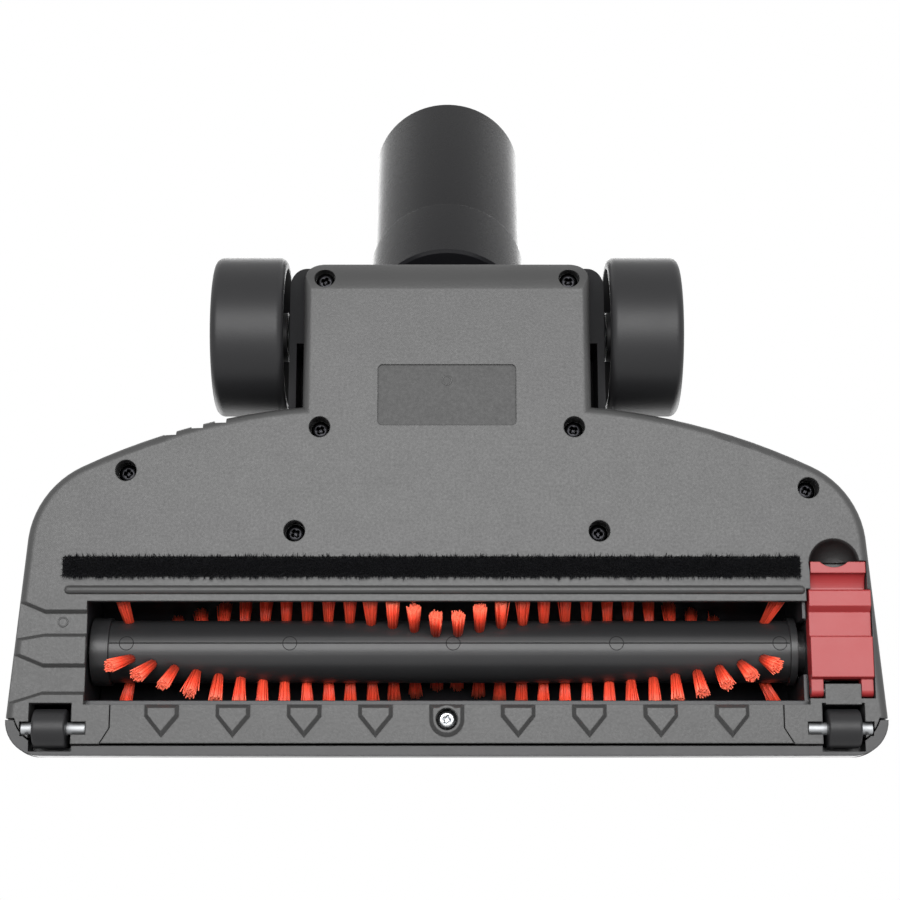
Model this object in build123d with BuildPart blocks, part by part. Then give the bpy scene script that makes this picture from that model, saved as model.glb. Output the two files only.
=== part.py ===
"""Motorised floor brush head of a stick vacuum, standing on its wheels as it is used.

Frame: +Z up from the floor, the bumper faces -Y, the neck leans back to +Y, and +X is the
belt side. The origin is on the floor, under the middle of the whole head.
Every depth is given from the front of the bumper and turned into Y by back().
"""
import math
import os

from build123d import *

# Plan of the housing
WIDTH = 250.0
BODY_DEPTH = 145.0
TAIL_WIDTH = 84.0
HALF = WIDTH / 2
TAIL_HALF = TAIL_WIDTH / 2
WING_DEPTH = BODY_DEPTH - 43.6
CORNER_R = 10.0
TAIL_CORNER_R = 6.0
SIDE_TAPER = 4.0
SHOULDER_START = 62.5
SHOULDER_IN = 14.8
SHOULDER_BACK = 21.3
SHOULDER_BULGE = 3.3
WING_BULGE = 3.0

# Heights and walls of the housing
SOLE_Z = 3.0
FLOOR_T = 2.4
PARTING_Z = 12.0
COVER_Z = 43.5
WALL = 2.2
SOLE_INSET = 0.8
SKIRT_Z = 4.4
SKIRT_T = 2.8
SOLE_EDGE_R = 2.6
TAIL_SWEEP = 9.0
TAIL_RISE = 5.0
TAIL_BULGE = 1.0
TAIL_Z = 33.4
TAIL_OVERLAP = 14.0
TAIL_EDGE_R = 5.0
SKIRT_GAP = 0.4
FIT_GAP = 0.3

# Cover sections from the parting up: height, inset of the sides and back, inset of the nose
COVER_SECTIONS = (
    (PARTING_Z, 0.0, 0.0),
    (22.0, 1.2, 3.0),
    (32.0, 5.0, 9.0),
    (39.0, 9.0, 16.0),
    (COVER_Z, 15.0, 24.5),
)

# Brush roll and its chamber
ROLL_BACK = 30.9
ROLL_Z = 19.2
CORE_R = 9.0
CORE_LEFT = HALF - 28.0
CORE_RIGHT = HALF - 26.5
TUFT_TIP_R = 18.0
TUFT_ROOT_R = 1.2
TUFT_END_R = 1.85
TUFT_SEAT = 3.0
TUFTS_SIDE = 15
TUFT_OUTER = HALF - 34.4
TUFT_PITCH = TUFT_OUTER / (TUFTS_SIDE - 0.5)
TUFT_TWIST = 1.5
TUFT_START = 20.0
TUFT_SPLAY = {1: 28.0, -1: 17.0}
SPLAY_REACH = 26.0
EDGE_TUFT_X = HALF - 33.0
EDGE_TUFT_TURN = 85.0
EDGE_SPLAY = {1: 15.0, -1: 30.0}
COLLAR_R = 9.8
COLLAR_W = 2.0
CHAMBER_GAP = 1.5
CHAMBER_T = 1.8
MOUTH_FRONT = 14.2
MOUTH_BACK = 43.5
MOUTH_HALF = HALF - 22.8
CHAMBER_END = HALF - 22.0
ARCH_END = HALF - 15.6
BUSH_HALF = 7.8
BUSH_LOW = 10.4
BUSH_HIGH = 27.0
SEAT_GAP = 0.1
FOOT_IN = 1.6
FOOT_TOP = 12.0

# Drive: motor, shaft, pulleys, belt and the plate that carries them
PLATE_GAP = 0.7
MOTOR_R = 12.5
MOTOR_GAP = 0.9
MOTOR_BACK = ROLL_BACK + TUFT_TIP_R + CHAMBER_GAP + CHAMBER_T + MOTOR_GAP + MOTOR_R
MOTOR_START = HALF - 71.0
MOTOR_LENGTH = 33.0
MOTOR_CAP = 4.0
MOTOR_BOSS_R = 4.0
MOTOR_BOSS = 2.0
SHAFT_R = 1.5
PLATE_T = 2.0
PLATE_R = 17.5
PLATE_SMALL_R = 8.0
BUSH_R = 4.0
BUSH_W = 4.0
MOTOR_CAN_R = 1.5
CRADLE_IN = 5.0
CRADLE_W = 5.0
CRADLE_DROP = 2.0
BEARING_R = 8.0
BEARING_W = 4.0
SPINDLE_R = 4.0
SPINDLE_FIT = 0.05
PULLEY_W = 5.4
PULLEY_GAP = 0.4
PULLEY_FLANGE_T = 0.7
PULLEY_FLANGE_H = 1.2
ROLL_PULLEY_R = 9.0
MOTOR_PULLEY_R = 5.0
BELT_T = 1.6
BELT_W = 3.6
DOG_AF = 9.0
DOG_LENGTH = 7.0
DOG_GAP = 0.15
STUB_PIN_R = 2.5
STUB_PIN_IN = HALF - 35.0
STUB_PIN_OUT = HALF - 18.0
BUSH_OUT = HALF - 17.5
BUSH_IN = HALF - 21.9
BUSH_BOSS_R = 6.0
BUSH_BOSS = 2.2

# Front lip, teeth and rollers
LIP_FRONT = 3.4
LIP_HALF = HALF - 30.5
LIP_TOP = 7.0
LIP_SLANT = 2.6
LIP_SLANT_BACK = 7.6
LIP_SCREW_SEAT = 5.4
LIP_SCREW_LENGTH = 6.0
TEETH_SIDE = 4
TOOTH_PITCH = LIP_HALF / (TEETH_SIDE + 0.725)
TOOTH_W = 9.7
TOOTH_SHOULDER = 10.8
TOOTH_TIP = 4.9
TOOTH_H = 1.4
TOOTH_DRAFT = 38.0
LIP_SCREW_BACK = 10.0
LIP_BOSS_R = 4.9
ROLLER_X = HALF - 13.6
ROLLER_R = 5.5
ROLLER_W = 9.4
ROLLER_BACK = 7.6
ROLLER_PIN_R = 1.8
ROLLER_PIN_X = HALF - 14.4
ROLLER_PIN_HALF = 9.0
ROLLER_EDGE = 0.8
ROLLER_GAP = 0.9
ROLLER_ROOM = 1.5
ROLLER_SIDE_GAP = 1.3
ROLLER_POCKET_TOP = 11.6
CORNER_IN = HALF - 21.8
CORNER_OUT = HALF - 3.5
CORNER_BLOCK_BACK = 14.8
CORNER_BLOCK_TOP = 11.0

# Features of the underside
STRIP_FRONT = 50.4
STRIP_W = 5.8
STRIP_LEFT = HALF - 15.5
STRIP_RIGHT = HALF - 24.3
STRIP_DEPTH = 1.2
STRIP_PROUD = 1.5
STRIP_ROUND = 1.2
RIB_BACK = 46.66
RIB_W = 1.5
RIB_H = 0.9
RIB_GROOVE = 0.5
RIB_GAP = 0.8
RIB_LEFT = HALF - 16.7
RIB_RIGHT = HALF - 23.6
PLATE_RECESS_X = 40.2
PLATE_RECESS_Y = 18.1
PLATE_RECESS_BACK = BODY_DEPTH - 41.1
PLATE_RECESS_R = 1.3
PLATE_RECESS_DEPTH = 0.5
CHANNELS = ((45.6, 41.0, 33.3, 31.4), (30.2, 25.7, 16.9, 13.4))
CHANNEL_DEPTH = 1.3
CHANNEL_DRAFT = 38.0
CHANNEL_NECK_X = HALF - 11.0
VENTS = (
    (HALF - 44.8, WING_DEPTH - 9.4),
    (HALF - 52.5, WING_DEPTH - 7.4),
    (HALF - 59.2, WING_DEPTH - 5.8),
)
VENT_W = 3.6
VENT_HIGH = 21.0
SCREW_PLACES = (
    (TAIL_HALF - 6.0, BODY_DEPTH - 5.4),
    (6.0 - TAIL_HALF, BODY_DEPTH - 5.4),
    (TAIL_HALF - 5.1, BODY_DEPTH - 50.7),
    (5.1 - TAIL_HALF, BODY_DEPTH - 50.7),
    (HALF - 81.3, 63.7),
    (81.3 - HALF, 63.7),
    (HALF - 32.5, 81.4),
    (21.0 - HALF, 76.25),
)
COUNTERBORE_R = 3.1
COUNTERBORE_TOP = 9.6
BOSS_R = 4.8
POST_R = 4.0
SCREW_HEAD_R = 2.8
SCREW_HEAD_H = 2.0
SCREW_SHANK_R = 1.45
SCREW_LENGTH = 8.0
PILOT_GAP = 0.05

# Red end latch on the -X side
LATCH_INNER = HALF - 22.2
LATCH_OUTER = HALF - 4.7
LATCH_TOP = 8.6
LATCH_FRONT = 21.4
LATCH_BACK = 46.7
LATCH_PROFILE = (
    (LATCH_FRONT, 3.4),
    (LATCH_FRONT + 0.5, 2.2),
    (LATCH_FRONT + 11.8, 2.2),
    (LATCH_FRONT + 12.2, 3.9),
    (LATCH_BACK - 6.3, 3.9),
    (LATCH_BACK - 4.7, 2.2),
    (LATCH_BACK - 0.4, 2.2),
    (LATCH_BACK, 2.8),
    (LATCH_BACK, LATCH_TOP),
    (LATCH_FRONT, LATCH_TOP),
)
LATCH_WALL = 1.8
LATCH_WEB_Z = 5.7
LATCH_LEG_W = 3.4
LATCH_TAB_LOW = 6.2
LATCH_TAB_TOP = 8.4
LATCH_TAB_BACK = LATCH_BACK + 8.1
LATCH_RIDGE_FRONT = LATCH_TAB_BACK - 3.2
LATCH_RIDGE_Z = 3.4
LATCH_TAB_SIDE = 0.9
LATCH_FINGER_R = 5.8
LATCH_FINGER_OFF = 4.2
LATCH_PAD_IN = HALF - 21.5
LATCH_PAD_OUT = HALF - 17.7
LATCH_PAD_HALF = 5.0
LATCH_PAD_TOP = 10.3
LATCH_POCKET_FRONT = LATCH_FRONT - 5.5
LATCH_PIN_BACK = LATCH_FRONT - 3.2
LATCH_PIN_Z = 5.6
LATCH_PIN_R = 1.0
LATCH_EYE_R = 1.8
SCOOP_R = 7.3
SCOOP_BACK = LATCH_TAB_BACK - 0.6
SCOOP_OFF = 1.1
SCOOP_TOP = 8.2

# Tail, wheels and neck
PIVOT_BACK = BODY_DEPTH - 18.0
PIVOT_Z = 24.0
COVER_TAIL_HALF = TAIL_HALF + 4.8
WHEEL_R = 24.0
WHEEL_W = 21.4
WHEEL_IN = COVER_TAIL_HALF + 1.2
WHEEL_EDGE_R = 2.4
WHEEL_RIM_T = 3.2
WHEEL_HUB_R = 7.4
WHEEL_WEB_T = 5.0
WHEEL_DISH = 1.4
WHEEL_DISH_R = 19.0
WHEEL_CAP_R = 8.5
WHEEL_SKIN = 3.0
AXLE_R = 3.0
AXLE_IN = 28.5
AXLE_END_GAP = 0.4
AXLE_OUT = WHEEL_IN + WHEEL_W - WHEEL_SKIN - AXLE_END_GAP
RUN_FIT = 0.06
CHEEK_BOSS_R = 7.4
CHEEK_BOSS = 0.8
CHEEK_CLEAR = 0.6
CHEEK_IN = 14.2
BALL_R = 18.0
BALL_GAP = 0.5
TRUNNION_R = 8.0
TRUNNION_END = 26.0
TRUNNION_GAP = 0.2
BALL_HALF = 13.7
BALL_WALL = 2.8
NECK_LEAN = 45.5
TILT_LOW = 15.0
TILT_HIGH = 42.0
WINDOW_HALF = 11.5
WINDOW_LOW = TILT_LOW + 37.0
WINDOW_HIGH = TILT_HIGH + 7.0
COLLAR_NEAR = 10.0
COLLAR_FAR = 43.5
NECK_LENGTH = 123.4
NECK_COLLAR_R = 24.4
TUBE_BASE_R = 23.2
TUBE_END_R = 24.8
STUB_R = 15.5
STUB_BORE_R = 13.0
STUB_END = 38.0
LAND_R = 19.2
LAND_NEAR = 13.0
LAND_FAR = 19.0
LAND_GAP = 0.4
JOURNAL_NEAR = 19.3
JOURNAL_FAR = 34.2
JOURNAL_FIT = 0.08
CLIP_NEAR = 34.4
CLIP_FAR = 36.2
CLIP_SEAT_R = 14.9
CLIP_R = 19.0
CLIP_GAP_W = 6.0
SOCKET_R = 17.6
SOCKET_T = 2.2
SOCKET_DEPTH = 52.0
SOCKET_FLANGE_R = 21.9
SOCKET_FLANGE_T = 2.5
SOCKET_SHOULDER = 0.45
COLLAR_EDGE = 0.8
NOTCH_W = 3.2
NOTCH_DEPTH = 1.2
NOTCH_TURN = 45.0

# Suction duct between the chamber and the neck
DUCT_HALF = 16.0
DUCT_LOW = 8.0
DUCT_HIGH = 28.0
DUCT_T = 1.8
DUCT_FOOT = 4.0
DUCT_FOOT_BACK = 60.0

LEAN = math.radians(NECK_LEAN)
DEPTH = PIVOT_BACK + NECK_LENGTH * math.cos(LEAN) + TUBE_END_R * math.sin(LEAN)
FRONT = -DEPTH / 2
FLOOR_TOP = SOLE_Z + FLOOR_T
CHAMBER_R = TUFT_TIP_R + CHAMBER_GAP
CHAMBER_OUT = CHAMBER_R + CHAMBER_T
SCOOP_DEPTH = SCOOP_TOP - SOLE_Z
SCOOP_BALL_R = SCOOP_R**2 / (2 * SCOOP_DEPTH) + SCOOP_DEPTH / 2
LATCH_X = -(LATCH_INNER + LATCH_OUTER) / 2
SCOOP_X = LATCH_X + SCOOP_OFF
HINGE_TAB_HALF = (LATCH_OUTER - LATCH_INNER) / 2 - LATCH_LEG_W - FIT_GAP
ROLLER_POCKET_HALF = ROLLER_W / 2 + ROLLER_SIDE_GAP
PLATE_X = MOUTH_HALF + PLATE_GAP
PULLEY_X = PLATE_X + BEARING_W + PULLEY_GAP


def back(distance):
    """Y of a point that lies this far behind the front of the bumper."""
    return FRONT + distance


ROLL_AXIS = Plane(origin=(0, back(ROLL_BACK), ROLL_Z), x_dir=(0, 1, 0), z_dir=(1, 0, 0))
MOTOR_AXIS = Plane(origin=(0, back(MOTOR_BACK), ROLL_Z), x_dir=(0, 1, 0), z_dir=(1, 0, 0))
PIVOT_AXIS = Plane(origin=(0, back(PIVOT_BACK), PIVOT_Z), x_dir=(0, 1, 0), z_dir=(1, 0, 0))
NECK_AXIS = Plane(
    origin=(0, back(PIVOT_BACK), PIVOT_Z),
    x_dir=(1, 0, 0),
    z_dir=(0, math.cos(LEAN), math.sin(LEAN)),
)
NECK_SECTION = Plane(
    origin=(0, back(PIVOT_BACK), PIVOT_Z),
    x_dir=(1, 0, 0),
    z_dir=(0, -math.sin(LEAN), math.cos(LEAN)),
)
LATCH_AXIS = Plane(origin=(0, back(LATCH_PIN_BACK), LATCH_PIN_Z), x_dir=(0, 1, 0), z_dir=(1, 0, 0))
ROLLER_AXIS = Plane(origin=(0, back(ROLLER_BACK), ROLLER_R), x_dir=(0, 1, 0), z_dir=(1, 0, 0))
SIDE_VIEW = Plane.YZ


def wing_outline(inset=0.0, nose=0.0, mode=Mode.ADD):
    """Plan of the housing ahead of the tail, drawn into the sketch that is open."""
    half = HALF - inset
    front = FRONT + nose
    side_end = (half - SIDE_TAPER, back(SHOULDER_START) - inset / 2)
    shoulder_end = (side_end[0] - SHOULDER_IN, side_end[1] + SHOULDER_BACK - inset / 2)
    wing_end = (TAIL_WIDTH / 2, back(WING_DEPTH) - inset)
    with BuildLine() as edge:
        Line((0, front), (half - CORNER_R, front))
        JernArc(start=(half - CORNER_R, front), tangent=(1, 0), radius=CORNER_R, arc_size=90)
        Line((half, front + CORNER_R), side_end)
        SagittaArc(side_end, shoulder_end, -SHOULDER_BULGE)
        SagittaArc(shoulder_end, wing_end, -WING_BULGE)
        Line(wing_end, (0, wing_end[1]))
        mirror(about=Plane.YZ)
    make_face(edge.edges(), mode=mode)


def tail_outline(width, end):
    """Plan of the tail of the sole, with round back corners, drawn into the sketch that is open."""
    start = WING_DEPTH - 2 * CORNER_R
    with Locations((0, back((start + end) / 2))):
        RectangleRounded(width, end - start, TAIL_CORNER_R)


def disc(plane, start, end, radius, mode=Mode.ADD):
    """Round bar along a plane's normal, from one distance to another."""
    with BuildSketch(plane.offset(start)) as section:
        Circle(radius)
    extrude(section.sketch, amount=end - start, mode=mode)


def block(low, high, mode=Mode.ADD):
    """Straight block between two corners."""
    size = [b - a for a, b in zip(low, high)]
    middle = tuple((a + b) / 2 for a, b in zip(low, high))
    with Locations(middle):
        Box(*size, mode=mode)


def lip_corners(gap):
    """Corners of the front lip, wider at the front, grown by a gap."""
    half = LIP_HALF + gap
    right = [
        (half, back(MOUTH_FRONT)),
        (half, back(LIP_SLANT_BACK)),
        (half + LIP_SLANT, back(LIP_FRONT)),
    ]
    return right + [(-x, y) for x, y in reversed(right)]


def channel_outline(channel, inset):
    """Plan of one edge-cleaning channel, narrowed by an inset, drawn into the sketch that is open."""
    back_out, back_in, front_in, front_out = channel
    start = MOUTH_HALF - WALL
    end = HALF + WALL
    with BuildLine() as edge:
        Polyline(
            (start, back(back_in - inset)),
            (CHANNEL_NECK_X, back(back_in - inset)),
            (HALF, back(back_out - inset)),
            (end, back(back_out - inset)),
            (end, back(front_out + inset)),
            (HALF, back(front_out + inset)),
            (CHANNEL_NECK_X, back(front_in + inset)),
            (start, back(front_in + inset)),
            close=True,
        )
    make_face(edge.edges())


def export(piece, name):
    """Label a finished piece and write it to its own file."""
    piece.part.label = name
    export_step(piece.part, f"parts/{name}.step")


def side_profile(points, low_x, high_x, mode=Mode.ADD):
    """Straight-sided profile in the side view, carried across the head from one X to another."""
    with BuildSketch(SIDE_VIEW.offset(low_x)) as section:
        with BuildLine():
            Polyline(*points, close=True)
        make_face()
    extrude(section.sketch, amount=high_x - low_x, mode=mode)


def turned_neck(points):
    """Closed outline of radius and distance along the neck, turned about the axis of the neck."""
    with BuildSketch(NECK_SECTION) as section:
        with BuildLine():
            Polyline(*points, close=True)
        make_face()
    revolve(section.sketch, axis=Axis(NECK_AXIS.origin, NECK_AXIS.z_dir))


def pulley(plane, radius, bore):
    """Flat pulley with a flange on both sides of the belt."""
    end = PULLEY_X + PULLEY_W
    disc(plane, PULLEY_X, end, radius)
    disc(plane, PULLEY_X, PULLEY_X + PULLEY_FLANGE_T, radius + PULLEY_FLANGE_H)
    disc(plane, end - PULLEY_FLANGE_T, end, radius + PULLEY_FLANGE_H)
    disc(plane, PULLEY_X, end, bore, mode=Mode.SUBTRACT)


def belt_loop(start, end, grow, mode=Mode.ADD):
    """Solid loop round both pulleys, standing off their faces by a distance."""
    with BuildSketch(ROLL_AXIS.offset(start)) as section:
        Circle(ROLL_PULLEY_R + grow)
        with Locations((MOTOR_BACK - ROLL_BACK, 0)):
            Circle(MOTOR_PULLEY_R + grow)
        make_hull()
    extrude(section.sketch, amount=end - start, mode=mode)


def tuft(x, angle, splay):
    """One bristle tuft: a straight root in the core and a bundle that widens to its tip.

    The angle runs from straight down to the front, and the splay leans the tip along X.
    """
    turn = math.radians(angle)
    lean = math.radians(splay)
    across = (-math.sin(turn), -math.cos(turn))
    way = (math.sin(lean), across[0] * math.cos(lean), across[1] * math.cos(lean))
    foot = (x, back(ROLL_BACK) + CORE_R * across[0], ROLL_Z + CORE_R * across[1])
    stand = Plane(origin=foot, x_dir=(-way[1], way[0], 0) if splay else (1, 0, 0), z_dir=way)
    length = (TUFT_TIP_R - CORE_R) / math.cos(lean)
    with BuildSketch(stand.offset(-TUFT_SEAT)) as root:
        Circle(TUFT_ROOT_R)
    extrude(root.sketch, amount=TUFT_SEAT)
    with BuildSketch(stand) as low:
        Circle(TUFT_ROOT_R)
    with BuildSketch(stand.offset(length)) as high:
        Circle(TUFT_END_R)
    loft([low.sketch, high.sketch])


os.makedirs("parts", exist_ok=True)

# Sole plate: a shallow tray with the brush mouth, bosses, latch pocket and roller pockets
with BuildPart() as sole_plate:
    with BuildSketch(Plane.XY.offset(SOLE_Z)):
        wing_outline(SOLE_INSET, SOLE_INSET)
        tail_outline(TAIL_WIDTH, BODY_DEPTH)
    extrude(amount=PARTING_Z - SOLE_Z)
    fillet(sole_plate.faces().sort_by(Axis.Z)[0].edges(), SOLE_EDGE_R)
    # The bumper of the cover wraps the front, so the sole steps back behind it
    step = SKIRT_T + SKIRT_GAP
    step_back = CORNER_R + SKIRT_GAP
    block((-WIDTH, back(-step_back), 0), (WIDTH, back(step_back), PARTING_Z), mode=Mode.SUBTRACT)
    with BuildSketch(Plane.XY.offset(SOLE_Z)):
        wing_outline(step, step)
        with Locations((0, back(0))):
            Rectangle(2 * WIDTH, 2 * step_back, mode=Mode.INTERSECT)
    extrude(amount=PARTING_Z - SOLE_Z)
    with BuildSketch(Plane.XY.offset(FLOOR_TOP)):
        wing_outline(SOLE_INSET + WALL, SOLE_INSET + WALL)
        tail_outline(TAIL_WIDTH - 2 * WALL, BODY_DEPTH - TAIL_SWEEP - WALL)
    extrude(amount=PARTING_Z - FLOOR_TOP, mode=Mode.SUBTRACT)
    # Screw bosses, trunnion posts, corner blocks and the cup behind the finger scoop
    for x, distance in SCREW_PLACES:
        disc(Plane((x, back(distance), 0)), FLOOR_TOP, PARTING_Z, BOSS_R)
    for side in (-1, 1):
        post_low = (min(side * CHEEK_IN, side * TRUNNION_END), back(PIVOT_BACK - TRUNNION_R), FLOOR_TOP)
        post_high = (max(side * CHEEK_IN, side * TRUNNION_END), back(PIVOT_BACK + TRUNNION_R), PIVOT_Z)
        block(post_low, post_high)
        with BuildSketch(Plane.XY.offset(FLOOR_TOP)):
            wing_outline(step, step)
            with Locations((side * (CORNER_IN + CORNER_OUT) / 2, back(0))):
                Rectangle(CORNER_OUT - CORNER_IN, 2 * CORNER_BLOCK_BACK, mode=Mode.INTERSECT)
        extrude(amount=CORNER_BLOCK_TOP - FLOOR_TOP)
    disc(PIVOT_AXIS, -TRUNNION_END, TRUNNION_END, TRUNNION_R + RUN_FIT, mode=Mode.SUBTRACT)
    with Locations((0, back(PIVOT_BACK), PIVOT_Z)):
        Sphere(BALL_R + BALL_GAP, mode=Mode.SUBTRACT)
    disc(Plane((SCOOP_X, back(SCOOP_BACK), 0)), FLOOR_TOP, SCOOP_TOP + WALL, SCOOP_R + WALL)
    # The underside of the tail sweeps up to its back edge
    with BuildSketch(SIDE_VIEW.offset(-TAIL_WIDTH)):
        with BuildLine():
            sweep_low = (back(BODY_DEPTH - TAIL_SWEEP), SOLE_Z)
            sweep_high = (back(BODY_DEPTH), SOLE_Z + TAIL_RISE)
            sweep_end = back(BODY_DEPTH + WALL)
            SagittaArc(sweep_low, sweep_high, -TAIL_BULGE)
            Polyline(sweep_high, (sweep_end, sweep_high[1]), (sweep_end, 0), (sweep_low[0], 0), sweep_low)
        make_face()
    extrude(amount=2 * TAIL_WIDTH, mode=Mode.SUBTRACT)
    # Brush mouth and the seat of the front lip
    block((-MOUTH_HALF, back(MOUTH_FRONT), 0), (MOUTH_HALF, back(MOUTH_BACK), PARTING_Z), mode=Mode.SUBTRACT)
    with BuildSketch(Plane.XY):
        with BuildLine():
            Polyline(*lip_corners(FIT_GAP), close=True)
        make_face()
    extrude(amount=PARTING_Z, mode=Mode.SUBTRACT)
    seat_half = LIP_HALF + LIP_SLANT + FIT_GAP
    block((-seat_half, back(0), 0), (seat_half, back(LIP_FRONT), PARTING_Z), mode=Mode.SUBTRACT)
    # Roller pockets with open slots for their pins
    for side in (-1, 1):
        x = side * ROLLER_X
        pocket_low = (x - ROLLER_POCKET_HALF, back(ROLLER_BACK - ROLLER_R - ROLLER_GAP), 0)
        pocket_high = (x + ROLLER_POCKET_HALF, back(ROLLER_BACK + ROLLER_R + ROLLER_ROOM), ROLLER_POCKET_TOP)
        block(pocket_low, pocket_high, mode=Mode.SUBTRACT)
        pin_x = side * ROLLER_PIN_X
        slot_end = ROLLER_PIN_HALF + FIT_GAP
        slot_low = (pin_x - slot_end, back(ROLLER_BACK) - ROLLER_PIN_R, 0)
        slot_high = (pin_x + slot_end, back(ROLLER_BACK) + ROLLER_PIN_R, ROLLER_R)
        block(slot_low, slot_high, mode=Mode.SUBTRACT)
        disc(ROLLER_AXIS, pin_x - slot_end, pin_x + slot_end, ROLLER_PIN_R, mode=Mode.SUBTRACT)
    # Latch pocket, room for its pull tab, the finger scoop and the hinge tab between its legs
    block(
        (-LATCH_OUTER - FIT_GAP, back(LATCH_POCKET_FRONT), 0),
        (-MOUTH_HALF, back(LATCH_BACK + FIT_GAP), PARTING_Z),
        mode=Mode.SUBTRACT,
    )
    block(
        (-LATCH_OUTER + LATCH_TAB_SIDE - FIT_GAP, back(LATCH_BACK), 0),
        (-LATCH_INNER - LATCH_TAB_SIDE + FIT_GAP, back(LATCH_TAB_BACK + FIT_GAP), LATCH_TOP + FIT_GAP),
        mode=Mode.SUBTRACT,
    )
    with Locations((SCOOP_X, back(SCOOP_BACK), SCOOP_TOP - SCOOP_BALL_R)):
        Sphere(SCOOP_BALL_R, mode=Mode.SUBTRACT)
    block(
        (LATCH_X - HINGE_TAB_HALF, back(MOUTH_FRONT), SOLE_Z),
        (LATCH_X + HINGE_TAB_HALF, back(LATCH_PIN_BACK + LATCH_EYE_R), LATCH_PIN_Z + LATCH_EYE_R),
    )
    disc(LATCH_AXIS, -LATCH_OUTER, -LATCH_INNER, LATCH_PIN_R, mode=Mode.SUBTRACT)
    # Seat of the mohair strip, the bead in front of it and the bare plate recess
    block(
        (-STRIP_RIGHT, back(STRIP_FRONT), 0),
        (STRIP_LEFT, back(STRIP_FRONT + STRIP_W), SOLE_Z + STRIP_DEPTH),
        mode=Mode.SUBTRACT,
    )
    bead_x = (RIB_LEFT - RIB_RIGHT) / 2
    bead_length = RIB_LEFT + RIB_RIGHT
    with BuildSketch(Plane.XY.offset(SOLE_Z + RIB_GROOVE)):
        with Locations((bead_x, back(RIB_BACK))):
            SlotOverall(bead_length + RIB_GAP, RIB_W + RIB_GAP)
    extrude(amount=-RIB_GROOVE, mode=Mode.SUBTRACT)
    with BuildSketch(Plane.XY.offset(SOLE_Z + RIB_GROOVE)):
        with Locations((bead_x, back(RIB_BACK))):
            SlotOverall(bead_length, RIB_W)
    extrude(amount=-RIB_GROOVE - RIB_H)
    with BuildSketch(Plane.XY.offset(SOLE_Z)):
        with Locations((0, back(PLATE_RECESS_BACK))):
            RectangleRounded(PLATE_RECESS_X, PLATE_RECESS_Y, PLATE_RECESS_R)
    extrude(amount=PLATE_RECESS_DEPTH, mode=Mode.SUBTRACT)
    # Edge-cleaning channels that open out to the belt side
    channel_run = CHANNEL_DEPTH * math.tan(math.radians(CHANNEL_DRAFT))
    for channel in CHANNELS:
        with BuildSketch(Plane.XY.offset(SOLE_Z)) as channel_mouth:
            channel_outline(channel, 0)
        with BuildSketch(Plane.XY.offset(SOLE_Z + CHANNEL_DEPTH)) as channel_floor:
            channel_outline(channel, channel_run)
        loft([channel_mouth.sketch, channel_floor.sketch], ruled=True, mode=Mode.SUBTRACT)
    # Cooling notches in the back edge of the motor side
    for x, distance in VENTS:
        block(
            (x - VENT_W / 2, back(distance), 0),
            (x + VENT_W / 2, back(WING_DEPTH), PARTING_Z),
            mode=Mode.SUBTRACT,
        )
    # Counterbores and clearance holes for the housing screws
    for x, distance in SCREW_PLACES:
        place = Plane((x, back(distance), 0))
        disc(place, 0, COUNTERBORE_TOP, COUNTERBORE_R, mode=Mode.SUBTRACT)
        disc(place, 0, PARTING_Z, SCREW_SHANK_R + PILOT_GAP, mode=Mode.SUBTRACT)
export(sole_plate, "sole_plate")

# Front lip: the toothed strip that closes the front of the mouth
with BuildPart() as front_lip:
    with BuildSketch(Plane.XY.offset(SOLE_Z)):
        with BuildLine():
            Polyline(*lip_corners(0), close=True)
        make_face()
    extrude(amount=LIP_TOP - SOLE_Z)
    with BuildSketch(Plane.XY.offset(SOLE_Z)):
        for step in range(1, TEETH_SIDE + 1):
            for side in (-1, 1):
                x = side * step * TOOTH_PITCH
                with BuildLine():
                    Polyline(
                        (x - TOOTH_W / 2, back(MOUTH_FRONT)),
                        (x + TOOTH_W / 2, back(MOUTH_FRONT)),
                        (x + TOOTH_W / 2, back(TOOTH_SHOULDER)),
                        (x, back(TOOTH_TIP)),
                        (x - TOOTH_W / 2, back(TOOTH_SHOULDER)),
                        close=True,
                    )
                make_face()
        with Locations((0, back((LIP_SCREW_BACK + MOUTH_FRONT) / 2))):
            Rectangle(2 * LIP_BOSS_R, MOUTH_FRONT - LIP_SCREW_BACK)
        with Locations((0, back(LIP_SCREW_BACK))):
            Circle(LIP_BOSS_R)
    extrude(amount=-TOOTH_H, taper=TOOTH_DRAFT)
    block((-WIDTH, back(MOUTH_FRONT), 0), (WIDTH, back(MOUTH_BACK), PARTING_Z), mode=Mode.SUBTRACT)
    lip_screw_place = Plane((0, back(LIP_SCREW_BACK), 0))
    disc(lip_screw_place, 0, LIP_TOP, SCREW_SHANK_R + PILOT_GAP, mode=Mode.SUBTRACT)
    disc(lip_screw_place, 0, LIP_SCREW_SEAT, COUNTERBORE_R, mode=Mode.SUBTRACT)
export(front_lip, "front_lip")

# Screws: one group for the housing, one bright screw for the lip
with BuildPart() as housing_screws:
    for x, distance in SCREW_PLACES:
        place = Plane((x, back(distance), 0))
        disc(place, COUNTERBORE_TOP - SCREW_HEAD_H, COUNTERBORE_TOP, SCREW_HEAD_R)
        disc(place, COUNTERBORE_TOP, COUNTERBORE_TOP + SCREW_LENGTH, SCREW_SHANK_R)
export(housing_screws, "housing_screws")

with BuildPart() as lip_screw:
    disc(lip_screw_place, LIP_SCREW_SEAT - SCREW_HEAD_H, LIP_SCREW_SEAT, SCREW_HEAD_R)
    disc(lip_screw_place, LIP_SCREW_SEAT, LIP_SCREW_SEAT + LIP_SCREW_LENGTH, SCREW_SHANK_R)
export(lip_screw, "lip_screw")

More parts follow.
